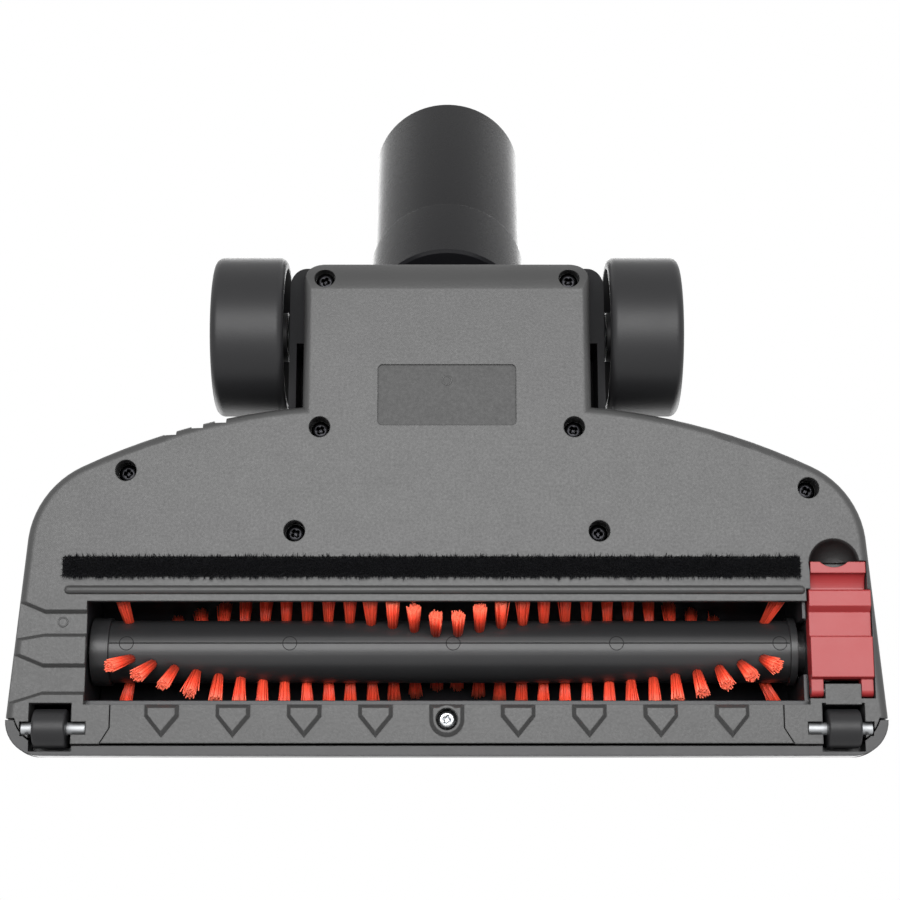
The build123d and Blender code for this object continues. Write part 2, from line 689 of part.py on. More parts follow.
# Mohair strip: a pile block glued in its groove
with BuildPart() as mohair_strip:
    block(
        (-STRIP_RIGHT, back(STRIP_FRONT), SOLE_Z - STRIP_PROUD),
        (STRIP_LEFT, back(STRIP_FRONT + STRIP_W), SOLE_Z + STRIP_DEPTH),
    )
    fillet(mohair_strip.faces().sort_by(Axis.Z)[0].edges(), STRIP_ROUND)
export(mohair_strip, "mohair_strip")

# Top cover: a lofted shell over the wings, a tail with two cheeks and a bumper skirt
with BuildPart() as cover_space:
    for z, inset, nose in COVER_SECTIONS:
        with BuildSketch(Plane.XY.offset(z - (WALL if z > PARTING_Z else 0))):
            wing_outline(inset + WALL, nose + WALL)
    loft()
    block(
        (-COVER_TAIL_HALF + WALL, back(WING_DEPTH - TAIL_OVERLAP), PARTING_Z),
        (COVER_TAIL_HALF - WALL, back(PIVOT_BACK - BALL_R), TAIL_Z - WALL),
    )
    for side in (-1, 1):
        x_near = side * (TRUNNION_END + WALL)
        x_far = side * (COVER_TAIL_HALF - WALL)
        block(
            (min(x_near, x_far), back(WING_DEPTH), PARTING_Z),
            (max(x_near, x_far), back(PIVOT_BACK - AXLE_R - WALL), TAIL_Z - WALL),
        )
    for x, distance in SCREW_PLACES:
        disc(Plane((x, back(distance), 0)), PARTING_Z, COVER_Z, POST_R, mode=Mode.SUBTRACT)

# Tail of the cover: flat on top, round over the pivot, then a slope that the collar of the neck clears
with BuildPart() as cover_tail:
    with BuildSketch(SIDE_VIEW.offset(-COVER_TAIL_HALF)):
        with BuildLine():
            slope = math.radians(NECK_LEAN - TILT_LOW)
            arc_r = COLLAR_NEAR - CHEEK_CLEAR
            pivot = (back(PIVOT_BACK), PIVOT_Z)
            arc_low = (pivot[0] + arc_r * math.cos(slope), pivot[1] + arc_r * math.sin(slope))
            arc_high = (pivot[0], pivot[1] + arc_r)
            middle = (slope + math.pi / 2) / 2
            arc_middle = (pivot[0] + arc_r * math.cos(middle), pivot[1] + arc_r * math.sin(middle))
            run = (arc_low[1] - PARTING_Z) * math.tan(slope)
            ThreePointArc(arc_low, arc_middle, arc_high)
            Polyline(
                arc_high,
                (back(WING_DEPTH - TAIL_OVERLAP), TAIL_Z),
                (back(WING_DEPTH - TAIL_OVERLAP), PARTING_Z),
                (arc_low[0] + run, PARTING_Z),
                arc_low,
            )
        make_face()
    extrude(amount=2 * COVER_TAIL_HALF)
    slope_edges = cover_tail.edges().filter_by(
        lambda edge: abs(edge.center().X) > COVER_TAIL_HALF - FIT_GAP and edge.center().Y > arc_low[0]
    )
    fillet(slope_edges, TAIL_EDGE_R)
    for side in (-1, 1):
        boss_in = side * (COVER_TAIL_HALF - TAIL_EDGE_R)
        boss_out = side * (COVER_TAIL_HALF + CHEEK_BOSS)
        disc(PIVOT_AXIS, min(boss_in, boss_out), max(boss_in, boss_out), CHEEK_BOSS_R)

with BuildPart() as top_cover:
    for z, inset, nose in COVER_SECTIONS:
        with BuildSketch(Plane.XY.offset(z)):
            wing_outline(inset, nose)
    loft()
    add(cover_tail.part)
    # Bumper skirt round the front
    with BuildSketch(Plane.XY.offset(SKIRT_Z)):
        wing_outline(SOLE_INSET)
        wing_outline(SKIRT_T, SKIRT_T, mode=Mode.SUBTRACT)
        with Locations((0, back(CORNER_R + BODY_DEPTH / 2))):
            Rectangle(2 * WIDTH, BODY_DEPTH, mode=Mode.SUBTRACT)
    extrude(amount=PARTING_Z - SKIRT_Z)
    add(cover_space.part, mode=Mode.SUBTRACT)
    disc(PIVOT_AXIS, -CHEEK_IN, CHEEK_IN, BALL_R + BALL_GAP, mode=Mode.SUBTRACT)
    # Trunnion seats, open to the parting so that the neck drops in from below
    disc(PIVOT_AXIS, -TRUNNION_END, TRUNNION_END, TRUNNION_R + RUN_FIT, mode=Mode.SUBTRACT)
    block(
        (-TRUNNION_END, back(PIVOT_BACK - TRUNNION_R) - RUN_FIT, 0),
        (TRUNNION_END, back(PIVOT_BACK + TRUNNION_R) + RUN_FIT, PIVOT_Z),
        mode=Mode.SUBTRACT,
    )
    axle_seat = COVER_TAIL_HALF + CHEEK_BOSS
    disc(PIVOT_AXIS, -axle_seat, axle_seat, AXLE_R, mode=Mode.SUBTRACT)
    for side in (-1, 1):
        x = side * ROLLER_X
        block(
            (x - ROLLER_POCKET_HALF, back(ROLLER_BACK - ROLLER_R - ROLLER_GAP), 0),
            (x + ROLLER_POCKET_HALF, back(ROLLER_BACK), ROLLER_POCKET_TOP),
            mode=Mode.SUBTRACT,
        )
        pin_x = side * ROLLER_PIN_X
        pin_end = ROLLER_PIN_HALF + FIT_GAP
        block(
            (pin_x - pin_end, back(ROLLER_BACK - ROLLER_PIN_R - FIT_GAP), 0),
            (pin_x + pin_end, back(ROLLER_BACK + ROLLER_PIN_R), ROLLER_R + ROLLER_PIN_R + FIT_GAP),
            mode=Mode.SUBTRACT,
        )
    for x, distance in VENTS:
        block(
            (x - VENT_W / 2, back(distance), PARTING_Z),
            (x + VENT_W / 2, back(WING_DEPTH), VENT_HIGH),
            mode=Mode.SUBTRACT,
        )
    for x, distance in SCREW_PLACES:
        place = Plane((x, back(distance), 0))
        pilot_top = COUNTERBORE_TOP + SCREW_LENGTH + PILOT_GAP
        disc(place, PARTING_Z, pilot_top, SCREW_SHANK_R + PILOT_GAP, mode=Mode.SUBTRACT)
export(top_cover, "top_cover")

# Brush chamber: a half pipe over the roll, an arch for the end bush and a foot for the lip screw
with BuildPart() as brush_chamber:
    disc(ROLL_AXIS, -CHAMBER_END, PLATE_X - SEAT_GAP, CHAMBER_OUT)
    block(
        (-ARCH_END, back(ROLL_BACK) - BUSH_HALF - CHAMBER_T, BUSH_LOW),
        (-CHAMBER_END, back(ROLL_BACK) + BUSH_HALF + CHAMBER_T, BUSH_HIGH + CHAMBER_T),
    )
    block(
        (-LIP_BOSS_R, back(LIP_FRONT + FOOT_IN), LIP_TOP),
        (LIP_BOSS_R, back(ROLL_BACK), FOOT_TOP),
    )
    disc(ROLL_AXIS, -CHAMBER_END + CHAMBER_T, PLATE_X, CHAMBER_R, mode=Mode.SUBTRACT)
    # Open below, on the sole at the back and on the lip at the front
    block(
        (-WIDTH, back(ROLL_BACK), -CHAMBER_OUT),
        (WIDTH, back(ROLL_BACK + 2 * CHAMBER_OUT), FLOOR_TOP),
        mode=Mode.SUBTRACT,
    )
    block(
        (-WIDTH, back(ROLL_BACK - 2 * CHAMBER_OUT), -CHAMBER_OUT),
        (WIDTH, back(ROLL_BACK), LIP_TOP),
        mode=Mode.SUBTRACT,
    )
    # Room for the latch and for the cup of the finger scoop
    block(
        (-CHAMBER_END, back(LATCH_POCKET_FRONT), 0),
        (-MOUTH_HALF, back(LATCH_TAB_BACK), LATCH_TOP + FIT_GAP),
        mode=Mode.SUBTRACT,
    )
    scoop_place = Plane((SCOOP_X, back(SCOOP_BACK), 0))
    disc(scoop_place, 0, SCOOP_TOP + WALL + FIT_GAP, SCOOP_R + WALL + FIT_GAP, mode=Mode.SUBTRACT)
    # The end bush comes in from below
    block(
        (-ARCH_END + CHAMBER_T, back(ROLL_BACK) - BUSH_HALF - RUN_FIT, 0),
        (-CHAMBER_END + CHAMBER_T, back(ROLL_BACK) + BUSH_HALF + RUN_FIT, BUSH_HIGH + RUN_FIT),
        mode=Mode.SUBTRACT,
    )
    # Suction outlet into the duct, and the pilot hole of the lip screw
    block(
        (-DUCT_HALF + DUCT_T, back(ROLL_BACK), DUCT_LOW + DUCT_T),
        (DUCT_HALF - DUCT_T, back(ROLL_BACK + 2 * CHAMBER_OUT), DUCT_HIGH - DUCT_T),
        mode=Mode.SUBTRACT,
    )
    disc(lip_screw_place, LIP_TOP, FOOT_TOP, SCREW_SHANK_R + PILOT_GAP, mode=Mode.SUBTRACT)
export(brush_chamber, "brush_chamber")

# Air duct: a square tube from the chamber to the ball of the neck
with BuildPart() as air_duct:
    duct_end = PIVOT_BACK - BALL_R - 2 * BALL_GAP
    block(
        (-DUCT_HALF, back(ROLL_BACK), DUCT_LOW),
        (DUCT_HALF, back(duct_end), DUCT_HIGH),
    )
    block(
        (-DUCT_HALF + DUCT_T, back(ROLL_BACK), DUCT_LOW + DUCT_T),
        (DUCT_HALF - DUCT_T, back(duct_end), DUCT_HIGH - DUCT_T),
        mode=Mode.SUBTRACT,
    )
    disc(ROLL_AXIS, -WIDTH, WIDTH, CHAMBER_OUT, mode=Mode.SUBTRACT)
    for side in (-1, 1):
        x = side * (DUCT_HALF - DUCT_FOOT / 2)
        block(
            (x - DUCT_FOOT / 2, back(DUCT_FOOT_BACK), FLOOR_TOP),
            (x + DUCT_FOOT / 2, back(duct_end - DUCT_FOOT), DUCT_LOW),
        )
export(air_duct, "air_duct")

# Drive plate: carries the bearing of the roll and the bush of the motor shaft
with BuildPart() as drive_plate:
    with BuildSketch(ROLL_AXIS.offset(PLATE_X)) as plate_face:
        Circle(PLATE_R)
        with Locations((MOTOR_BACK - ROLL_BACK, 0)):
            Circle(PLATE_SMALL_R)
        make_hull()
    extrude(amount=PLATE_T)
    disc(ROLL_AXIS, PLATE_X, PLATE_X + BEARING_W, BEARING_R + CHAMBER_T)
    disc(MOTOR_AXIS, PLATE_X, PLATE_X + BUSH_W, BUSH_R + CHAMBER_T)
    disc(ROLL_AXIS, PLATE_X, PLATE_X + BEARING_W, BEARING_R, mode=Mode.SUBTRACT)
    disc(MOTOR_AXIS, PLATE_X, PLATE_X + BUSH_W, BUSH_R, mode=Mode.SUBTRACT)
    block((0, back(0), 0), (WIDTH, back(BODY_DEPTH), FLOOR_TOP), mode=Mode.SUBTRACT)
export(drive_plate, "drive_plate")

with BuildPart() as roll_bearing:
    disc(ROLL_AXIS, PLATE_X, PLATE_X + BEARING_W, BEARING_R)
    disc(ROLL_AXIS, PLATE_X, PLATE_X + BEARING_W, SPINDLE_R + SPINDLE_FIT, mode=Mode.SUBTRACT)
export(roll_bearing, "roll_bearing")

with BuildPart() as shaft_bush:
    disc(MOTOR_AXIS, PLATE_X, PLATE_X + BUSH_W, BUSH_R)
    disc(MOTOR_AXIS, PLATE_X, PLATE_X + BUSH_W, SHAFT_R + SPINDLE_FIT, mode=Mode.SUBTRACT)
export(shaft_bush, "shaft_bush")

# Motor: a steel can with a plastic end cap, in a cradle that stands on the sole
MOTOR_END = MOTOR_START + MOTOR_LENGTH
with BuildPart() as motor_can:
    disc(MOTOR_AXIS, MOTOR_START, MOTOR_END, MOTOR_R)
    fillet(motor_can.edges().filter_by(GeomType.CIRCLE).sort_by(Axis.X)[-1], MOTOR_CAN_R)
    disc(MOTOR_AXIS, MOTOR_END, MOTOR_END + MOTOR_BOSS, MOTOR_BOSS_R)
    disc(MOTOR_AXIS, MOTOR_START, MOTOR_END + MOTOR_BOSS, SHAFT_R + SPINDLE_FIT, mode=Mode.SUBTRACT)
export(motor_can, "motor_can")

with BuildPart() as motor_end_cap:
    disc(MOTOR_AXIS, MOTOR_START - MOTOR_CAP, MOTOR_START, MOTOR_R - MOTOR_CAN_R)
    disc(MOTOR_AXIS, MOTOR_START - MOTOR_CAP, MOTOR_START, SHAFT_R + SPINDLE_FIT, mode=Mode.SUBTRACT)
export(motor_end_cap, "motor_end_cap")

with BuildPart() as motor_cradle:
    block(
        (MOTOR_START + CRADLE_IN, back(MOTOR_BACK) - MOTOR_R, FLOOR_TOP),
        (MOTOR_END - CRADLE_IN, back(MOTOR_BACK) + MOTOR_R, ROLL_Z - CRADLE_DROP),
    )
    disc(MOTOR_AXIS, MOTOR_START, MOTOR_END, MOTOR_R, mode=Mode.SUBTRACT)
    block(
        (MOTOR_START + CRADLE_IN + CRADLE_W, back(MOTOR_BACK) - MOTOR_R, FLOOR_TOP + WALL),
        (MOTOR_END - CRADLE_IN - CRADLE_W, back(MOTOR_BACK) + MOTOR_R, ROLL_Z),
        mode=Mode.SUBTRACT,
    )
export(motor_cradle, "motor_cradle")

# Pulleys, shaft and belt
with BuildPart() as roll_pulley:
    pulley(ROLL_AXIS, ROLL_PULLEY_R, SPINDLE_R)
export(roll_pulley, "roll_pulley")

with BuildPart() as motor_pulley:
    pulley(MOTOR_AXIS, MOTOR_PULLEY_R, SHAFT_R)
export(motor_pulley, "motor_pulley")

with BuildPart() as motor_shaft:
    disc(MOTOR_AXIS, MOTOR_START - MOTOR_CAP, PULLEY_X + PULLEY_W, SHAFT_R)
export(motor_shaft, "motor_shaft")

with BuildPart() as drive_belt:
    belt_start = PULLEY_X + (PULLEY_W - BELT_W) / 2
    belt_loop(belt_start, belt_start + BELT_W, RUN_FIT + BELT_T)
    belt_loop(belt_start, belt_start + BELT_W, RUN_FIT, mode=Mode.SUBTRACT)
export(drive_belt, "drive_belt")

# Brush roll: two V rows of tufts set in the core, with slanted tufts at both ends
with BuildPart() as roll_tufts:
    for side in (-1, 1):
        for index in range(TUFTS_SIDE):
            x = (index + 0.5) * TUFT_PITCH
            angle = TUFT_START + TUFT_TWIST * (TUFT_OUTER - x)
            splay = side * TUFT_SPLAY[side] * max(0, 1 - (TUFT_OUTER - x) / SPLAY_REACH)
            tuft(side * x, angle, splay)
            tuft(side * x, angle - 180, splay)
        for turn in (-EDGE_TUFT_TURN, EDGE_TUFT_TURN):
            tuft(side * EDGE_TUFT_X, TUFT_START + turn, side * EDGE_SPLAY[side])
export(roll_tufts, "roll_tufts")

with BuildPart() as roll_core:
    disc(ROLL_AXIS, -CORE_RIGHT, CORE_LEFT, CORE_R)
    disc(ROLL_AXIS, -CORE_RIGHT - COLLAR_W, -CORE_RIGHT, COLLAR_R)
    disc(ROLL_AXIS, -CORE_RIGHT - COLLAR_W, -STUB_PIN_IN, STUB_PIN_R, mode=Mode.SUBTRACT)
    with BuildSketch(ROLL_AXIS.offset(CORE_LEFT)):
        RegularPolygon(DOG_AF / 2 + DOG_GAP, 6, major_radius=False)
    extrude(amount=-DOG_LENGTH - DOG_GAP, mode=Mode.SUBTRACT)
    add(roll_tufts.part, mode=Mode.SUBTRACT)
export(roll_core, "roll_core")

with BuildPart() as roll_hub:
    disc(ROLL_AXIS, CORE_LEFT, MOUTH_HALF, COLLAR_R)
    disc(ROLL_AXIS, MOUTH_HALF, PULLEY_X + PULLEY_W, SPINDLE_R)
    with BuildSketch(ROLL_AXIS.offset(CORE_LEFT)):
        RegularPolygon(DOG_AF / 2, 6, major_radius=False)
    extrude(amount=-DOG_LENGTH)
export(roll_hub, "roll_hub")

with BuildPart() as roll_axle:
    disc(ROLL_AXIS, -STUB_PIN_OUT, -STUB_PIN_IN, STUB_PIN_R)
export(roll_axle, "roll_axle")

with BuildPart() as end_bush:
    block(
        (-BUSH_OUT, back(ROLL_BACK) - BUSH_HALF, BUSH_LOW),
        (-BUSH_IN, back(ROLL_BACK) + BUSH_HALF, BUSH_HIGH),
    )
    disc(ROLL_AXIS, -BUSH_IN, -BUSH_IN + BUSH_BOSS, BUSH_BOSS_R)
    disc(ROLL_AXIS, -BUSH_OUT, -BUSH_IN + BUSH_BOSS, STUB_PIN_R + RUN_FIT, mode=Mode.SUBTRACT)
export(end_bush, "end_bush")

# Red latch: swings down on its pin, and holds the end bush up while it is shut
with BuildPart() as latch:
    side_profile([(back(distance), z) for distance, z in LATCH_PROFILE], -LATCH_OUTER, -LATCH_INNER)
    block(
        (-LATCH_OUTER + LATCH_WALL, back(LATCH_FRONT + LATCH_WALL), LATCH_WEB_Z),
        (-LATCH_INNER - LATCH_WALL, back(LATCH_BACK - LATCH_WALL), LATCH_TOP),
        mode=Mode.SUBTRACT,
    )
    block(
        (-LATCH_PAD_OUT, back(ROLL_BACK - LATCH_PAD_HALF), LATCH_WEB_Z),
        (-LATCH_PAD_IN, back(ROLL_BACK + LATCH_PAD_HALF), LATCH_PAD_TOP),
    )
    tab_out = -LATCH_OUTER + LATCH_TAB_SIDE
    tab_in = -LATCH_INNER - LATCH_TAB_SIDE
    block((tab_out, back(LATCH_BACK), LATCH_TAB_LOW), (tab_in, back(LATCH_TAB_BACK), LATCH_TAB_TOP))
    block((tab_out, back(LATCH_RIDGE_FRONT), LATCH_RIDGE_Z), (tab_in, back(LATCH_TAB_BACK), LATCH_TAB_TOP))
    finger = Plane((SCOOP_X, back(LATCH_TAB_BACK + LATCH_FINGER_OFF), 0))
    disc(finger, 0, LATCH_TOP, LATCH_FINGER_R, mode=Mode.SUBTRACT)
    for leg in (-LATCH_OUTER, -LATCH_INNER - LATCH_LEG_W):
        disc(LATCH_AXIS, leg, leg + LATCH_LEG_W, LATCH_EYE_R)
        block(
            (leg, back(LATCH_PIN_BACK), LATCH_PIN_Z - LATCH_EYE_R),
            (leg + LATCH_LEG_W, back(LATCH_FRONT), LATCH_PIN_Z + LATCH_EYE_R),
        )
    disc(LATCH_AXIS, -LATCH_OUTER, -LATCH_INNER, LATCH_PIN_R + RUN_FIT, mode=Mode.SUBTRACT)
export(latch, "latch")

with BuildPart() as latch_pin:
    disc(LATCH_AXIS, -LATCH_OUTER, -LATCH_INNER, LATCH_PIN_R)
export(latch_pin, "latch_pin")

# Wheels on their axles, and the small rollers on their pins, left and right
for side, name in ((1, "left"), (-1, "right")):
    wheel_plane = PIVOT_AXIS if side > 0 else Plane(PIVOT_AXIS.origin, x_dir=(0, 1, 0), z_dir=(-1, 0, 0))
    wheel_end = WHEEL_IN + WHEEL_W
    with BuildPart() as wheel:
        disc(wheel_plane, WHEEL_IN, wheel_end, WHEEL_R)
        fillet(wheel.edges(), WHEEL_EDGE_R)
        disc(wheel_plane, wheel_end - WHEEL_DISH, wheel_end, WHEEL_DISH_R, mode=Mode.SUBTRACT)
        disc(wheel_plane, wheel_end - WHEEL_DISH, wheel_end, WHEEL_CAP_R)
        disc(wheel_plane, WHEEL_IN, wheel_end - WHEEL_WEB_T, WHEEL_R - WHEEL_RIM_T, mode=Mode.SUBTRACT)
        disc(wheel_plane, WHEEL_IN, wheel_end - WHEEL_WEB_T, WHEEL_HUB_R)
        disc(wheel_plane, WHEEL_IN, wheel_end - WHEEL_SKIN, AXLE_R + RUN_FIT, mode=Mode.SUBTRACT)
    export(wheel, f"wheel_{name}")
    with BuildPart() as wheel_axle:
        disc(wheel_plane, AXLE_IN, AXLE_OUT, AXLE_R)
    export(wheel_axle, f"wheel_axle_{name}")
    roller_start = side * ROLLER_X - ROLLER_W / 2
    with BuildPart() as front_roller:
        disc(ROLLER_AXIS, roller_start, roller_start + ROLLER_W, ROLLER_R)
        fillet(front_roller.edges(), ROLLER_EDGE)
        disc(ROLLER_AXIS, roller_start, roller_start + ROLLER_W, ROLLER_PIN_R + RUN_FIT, mode=Mode.SUBTRACT)
    export(front_roller, f"front_roller_{name}")
    pin_x = side * ROLLER_PIN_X
    with BuildPart() as roller_pin:
        disc(ROLLER_AXIS, pin_x - ROLLER_PIN_HALF, pin_x + ROLLER_PIN_HALF, ROLLER_PIN_R)
    export(roller_pin, f"roller_pin_{name}")

# Neck barrel: a hollow ball on two trunnions, with a stub that the tube swivels on
with BuildPart() as ball_space:
    with Locations((0, back(PIVOT_BACK), PIVOT_Z)):
        Sphere(BALL_R - BALL_WALL)
        Box(2 * WINDOW_HALF, 2 * BALL_R, 2 * BALL_R, mode=Mode.INTERSECT)

with BuildPart() as neck_barrel:
    with Locations((0, back(PIVOT_BACK), PIVOT_Z)):
        Sphere(BALL_R)
        Box(2 * BALL_HALF, 2 * BALL_R, 2 * BALL_R, mode=Mode.INTERSECT)
    trunnion_end = TRUNNION_END - TRUNNION_GAP
    disc(PIVOT_AXIS, BALL_HALF, trunnion_end, TRUNNION_R)
    disc(PIVOT_AXIS, -trunnion_end, -BALL_HALF, TRUNNION_R)
    disc(NECK_AXIS, COLLAR_NEAR, STUB_END, STUB_R)
    disc(NECK_AXIS, LAND_NEAR, LAND_FAR, LAND_R)
    add(ball_space.part, mode=Mode.SUBTRACT)
    disc(NECK_AXIS, 0, STUB_END, STUB_BORE_R, mode=Mode.SUBTRACT)
    # Air window that faces the duct through the whole tilt
    window_low = math.radians(WINDOW_LOW)
    window_high = math.radians(WINDOW_HIGH)
    reach = 2 * BALL_R
    side_profile(
        [
            (back(PIVOT_BACK), PIVOT_Z),
            (back(PIVOT_BACK) - reach * math.cos(window_high), PIVOT_Z + reach * math.sin(window_high)),
            (back(PIVOT_BACK) - reach * math.cos(window_low), PIVOT_Z - reach * math.sin(window_low)),
        ],
        -WINDOW_HALF,
        WINDOW_HALF,
        mode=Mode.SUBTRACT,
    )
    # Groove of the swivel clip
    with BuildSketch(NECK_AXIS.offset(CLIP_NEAR)):
        Circle(STUB_R)
        Circle(CLIP_SEAT_R, mode=Mode.SUBTRACT)
    extrude(amount=CLIP_FAR - CLIP_NEAR, mode=Mode.SUBTRACT)
export(neck_barrel, "neck_barrel")

with BuildPart() as swivel_clip:
    with BuildSketch(NECK_AXIS.offset(CLIP_NEAR)):
        Circle(CLIP_R)
        Circle(CLIP_SEAT_R, mode=Mode.SUBTRACT)
        with Locations((0, CLIP_R)):
            Rectangle(CLIP_GAP_W, 2 * (CLIP_R - CLIP_GAP_W), mode=Mode.SUBTRACT)
    extrude(amount=CLIP_FAR - CLIP_NEAR)
export(swivel_clip, "swivel_clip")

# Neck tube: turns on the stub between the land and the clip, and takes the wand in a steel sleeve
with BuildPart() as neck_tube:
    socket_out = SOCKET_R + SOCKET_T
    socket_start = NECK_LENGTH - SOCKET_DEPTH
    flange_start = NECK_LENGTH - SOCKET_FLANGE_T
    turned_neck(
        [
            (LAND_R + LAND_GAP, COLLAR_NEAR),
            (NECK_COLLAR_R - COLLAR_EDGE, COLLAR_NEAR),
            (NECK_COLLAR_R, COLLAR_NEAR + COLLAR_EDGE),
            (NECK_COLLAR_R, COLLAR_FAR - COLLAR_EDGE),
            (NECK_COLLAR_R - COLLAR_EDGE, COLLAR_FAR),
            (TUBE_BASE_R, COLLAR_FAR),
            (TUBE_END_R, NECK_LENGTH),
            (SOCKET_FLANGE_R, NECK_LENGTH),
            (SOCKET_FLANGE_R, flange_start),
            (socket_out, flange_start),
            (socket_out, socket_start),
            (socket_out - SOCKET_SHOULDER, socket_start),
            (socket_out - SOCKET_SHOULDER, JOURNAL_FAR),
            (STUB_R + JOURNAL_FIT, JOURNAL_FAR),
            (STUB_R + JOURNAL_FIT, JOURNAL_NEAR),
            (LAND_R + LAND_GAP, JOURNAL_NEAR),
        ]
    )
    # Index notch on the underside of the collar
    with Locations(NECK_AXIS * Rot(0, 0, NOTCH_TURN - 180)):
        with Locations((0, NECK_COLLAR_R, COLLAR_FAR)):
            Box(NOTCH_W, 2 * NOTCH_DEPTH, COLLAR_FAR - COLLAR_NEAR, mode=Mode.SUBTRACT)
export(neck_tube, "neck_tube")

with BuildPart() as wand_socket:
    disc(NECK_AXIS, socket_start, NECK_LENGTH, socket_out)
    disc(NECK_AXIS, flange_start, NECK_LENGTH, SOCKET_FLANGE_R)
    disc(NECK_AXIS, socket_start, NECK_LENGTH, SOCKET_R, mode=Mode.SUBTRACT)
export(wand_socket, "wand_socket")
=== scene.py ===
"""Looks of a stick vacuum's floor brush head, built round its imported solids."""
import math
import random

import bmesh
import bpy
from bpy.props import FloatProperty, FloatVectorProperty, IntProperty, PointerProperty
from mathutils import Matrix, Vector


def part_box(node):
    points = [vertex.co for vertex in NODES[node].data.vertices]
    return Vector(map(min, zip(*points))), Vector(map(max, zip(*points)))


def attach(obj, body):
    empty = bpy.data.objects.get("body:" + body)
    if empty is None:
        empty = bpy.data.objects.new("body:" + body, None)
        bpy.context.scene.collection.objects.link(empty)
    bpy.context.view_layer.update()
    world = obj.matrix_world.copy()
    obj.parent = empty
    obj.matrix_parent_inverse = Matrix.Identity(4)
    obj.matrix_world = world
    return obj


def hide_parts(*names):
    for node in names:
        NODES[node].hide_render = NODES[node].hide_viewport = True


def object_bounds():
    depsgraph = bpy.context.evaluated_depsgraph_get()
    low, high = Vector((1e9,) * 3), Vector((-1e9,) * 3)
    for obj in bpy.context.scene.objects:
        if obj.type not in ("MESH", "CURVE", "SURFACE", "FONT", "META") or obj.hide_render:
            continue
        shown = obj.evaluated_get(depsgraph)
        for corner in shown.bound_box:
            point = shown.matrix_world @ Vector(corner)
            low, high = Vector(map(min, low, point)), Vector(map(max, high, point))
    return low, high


bl_info = {
    "name": "Floor Brush Head",
    "version": (1, 0, 0),
    "blender": (4, 5, 0),
    "location": "3D View > Sidebar > Floor Head",
    "description": "Finishes, bristles, pile, screws and stage of a vacuum floor brush head",
    "category": "Object",
}

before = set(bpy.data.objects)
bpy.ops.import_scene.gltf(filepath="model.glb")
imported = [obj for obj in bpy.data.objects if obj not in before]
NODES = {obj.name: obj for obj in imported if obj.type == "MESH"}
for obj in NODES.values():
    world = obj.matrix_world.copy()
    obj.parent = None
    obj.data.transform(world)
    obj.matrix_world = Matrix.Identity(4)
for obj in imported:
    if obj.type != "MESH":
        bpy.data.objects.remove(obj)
CAD_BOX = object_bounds()
MM = 0.001

# Sizes and places that repeat the part's own, in millimetres and degrees, with backs from the bumper
FRONT_Y = CAD_BOX[0].y / MM
SOLE_Z = 3.0
RECESS_Z = 3.5
TAIL_BACK = 98.0
ROLL_Y = FRONT_Y + 30.9
ROLL_Z = 19.2
CORE_R = 9.0
TUFT_TIP_R = 18.0
TUFTS_SIDE = 15
TUFT_OUTER = 90.6
TUFT_PITCH = TUFT_OUTER / (TUFTS_SIDE - 0.5)
TUFT_TWIST = 1.5
TUFT_START = 20.0
TUFT_SPLAY = {1: 28.0, -1: 17.0}
SPLAY_REACH = 26.0
EDGE_TUFT_X = 92.0
EDGE_TUFT_TURN = 85.0
EDGE_SPLAY = {1: 15.0, -1: 30.0}
SCOOP_PLACE = (-110.45, 54.2, 3.0)
SCOOP_R = 7.2
SCREW_PLACES = (
    (36.0, 139.6),
    (-36.0, 139.6),
    (36.9, 94.3),
    (-36.9, 94.3),
    (43.7, 63.7),
    (-43.7, 63.7),
    (92.5, 81.4),
    (-104.0, 76.25),
)
SCREW_FACE_Z = 7.6
SCREW_LENGTH = 9.9
LIP_SCREW_BACK = 10.0
LIP_SCREW_FACE_Z = 3.4
LIP_SCREW_LENGTH = 7.9
LIP_SCREW_TURN = 20.0
SCREW_R = 2.8
SCREW_HEAD_H = 2.0
SHANK_R = 1.42
SHANK_TIP_R = 0.9
SHANK_TAPER = 0.6

# Small forms that only the scene has, in millimetres and degrees
SOLE_MARKS = ((0.0, 108.3, 3.5), (109.0, 37.6, 4.3))
SOLE_MARK_R = 1.3
SOLE_MARK_W = 0.4
SOLE_MARK_H = 0.22
BEAD_PLACE = (3.45, 46.66)
BEAD_HALF = 104.1
BEAD_R = 1.2
SEAT = 0.1
COVE_SIDES = (-119.4, -103.7)
COVE_FRONT = 46.9
COVE_BACK = 51.7
COVE_DEEP_Z = 6.25
COVE_RIM_Z = 3.45
PARTING_TURN = -9.4
PARTING_ENDS = (-98.3, 96.8)
PARTING_HALF = 0.1
ROLL_MARK_MIDDLE = -1.8
ROLL_MARK_PITCH = 46.8
ROLL_MARK_R = (1.9, 1.96, 2.06, 2.12)
SUNK = -0.03
PROUD = 0.05
CROSS_DEPTH = 1.5
CROSS_ABOVE = -0.6
CROSS_LENGTH = (3.3, 1.1)
CROSS_WIDTH = (0.75, 0.5)

# Scatter of the bristle strands, in metres and radians, or as shares of a length or radius
GOLDEN_TURN = 2.39996
STRAND_SWAY = 0.2
STRAND_LENGTHS = (0.93, 1.0)
STRAND_TAPER = (1.0, 1.0, 0.92)
ROOT_IN = 0.0008
TIP_STRAY = 0.00016
WILD_STRAY = 0.0005
TAME_SHARE = 0.85
BELLY_AT = 0.55
BELLY_OUT = (-0.00008, 0.0001)

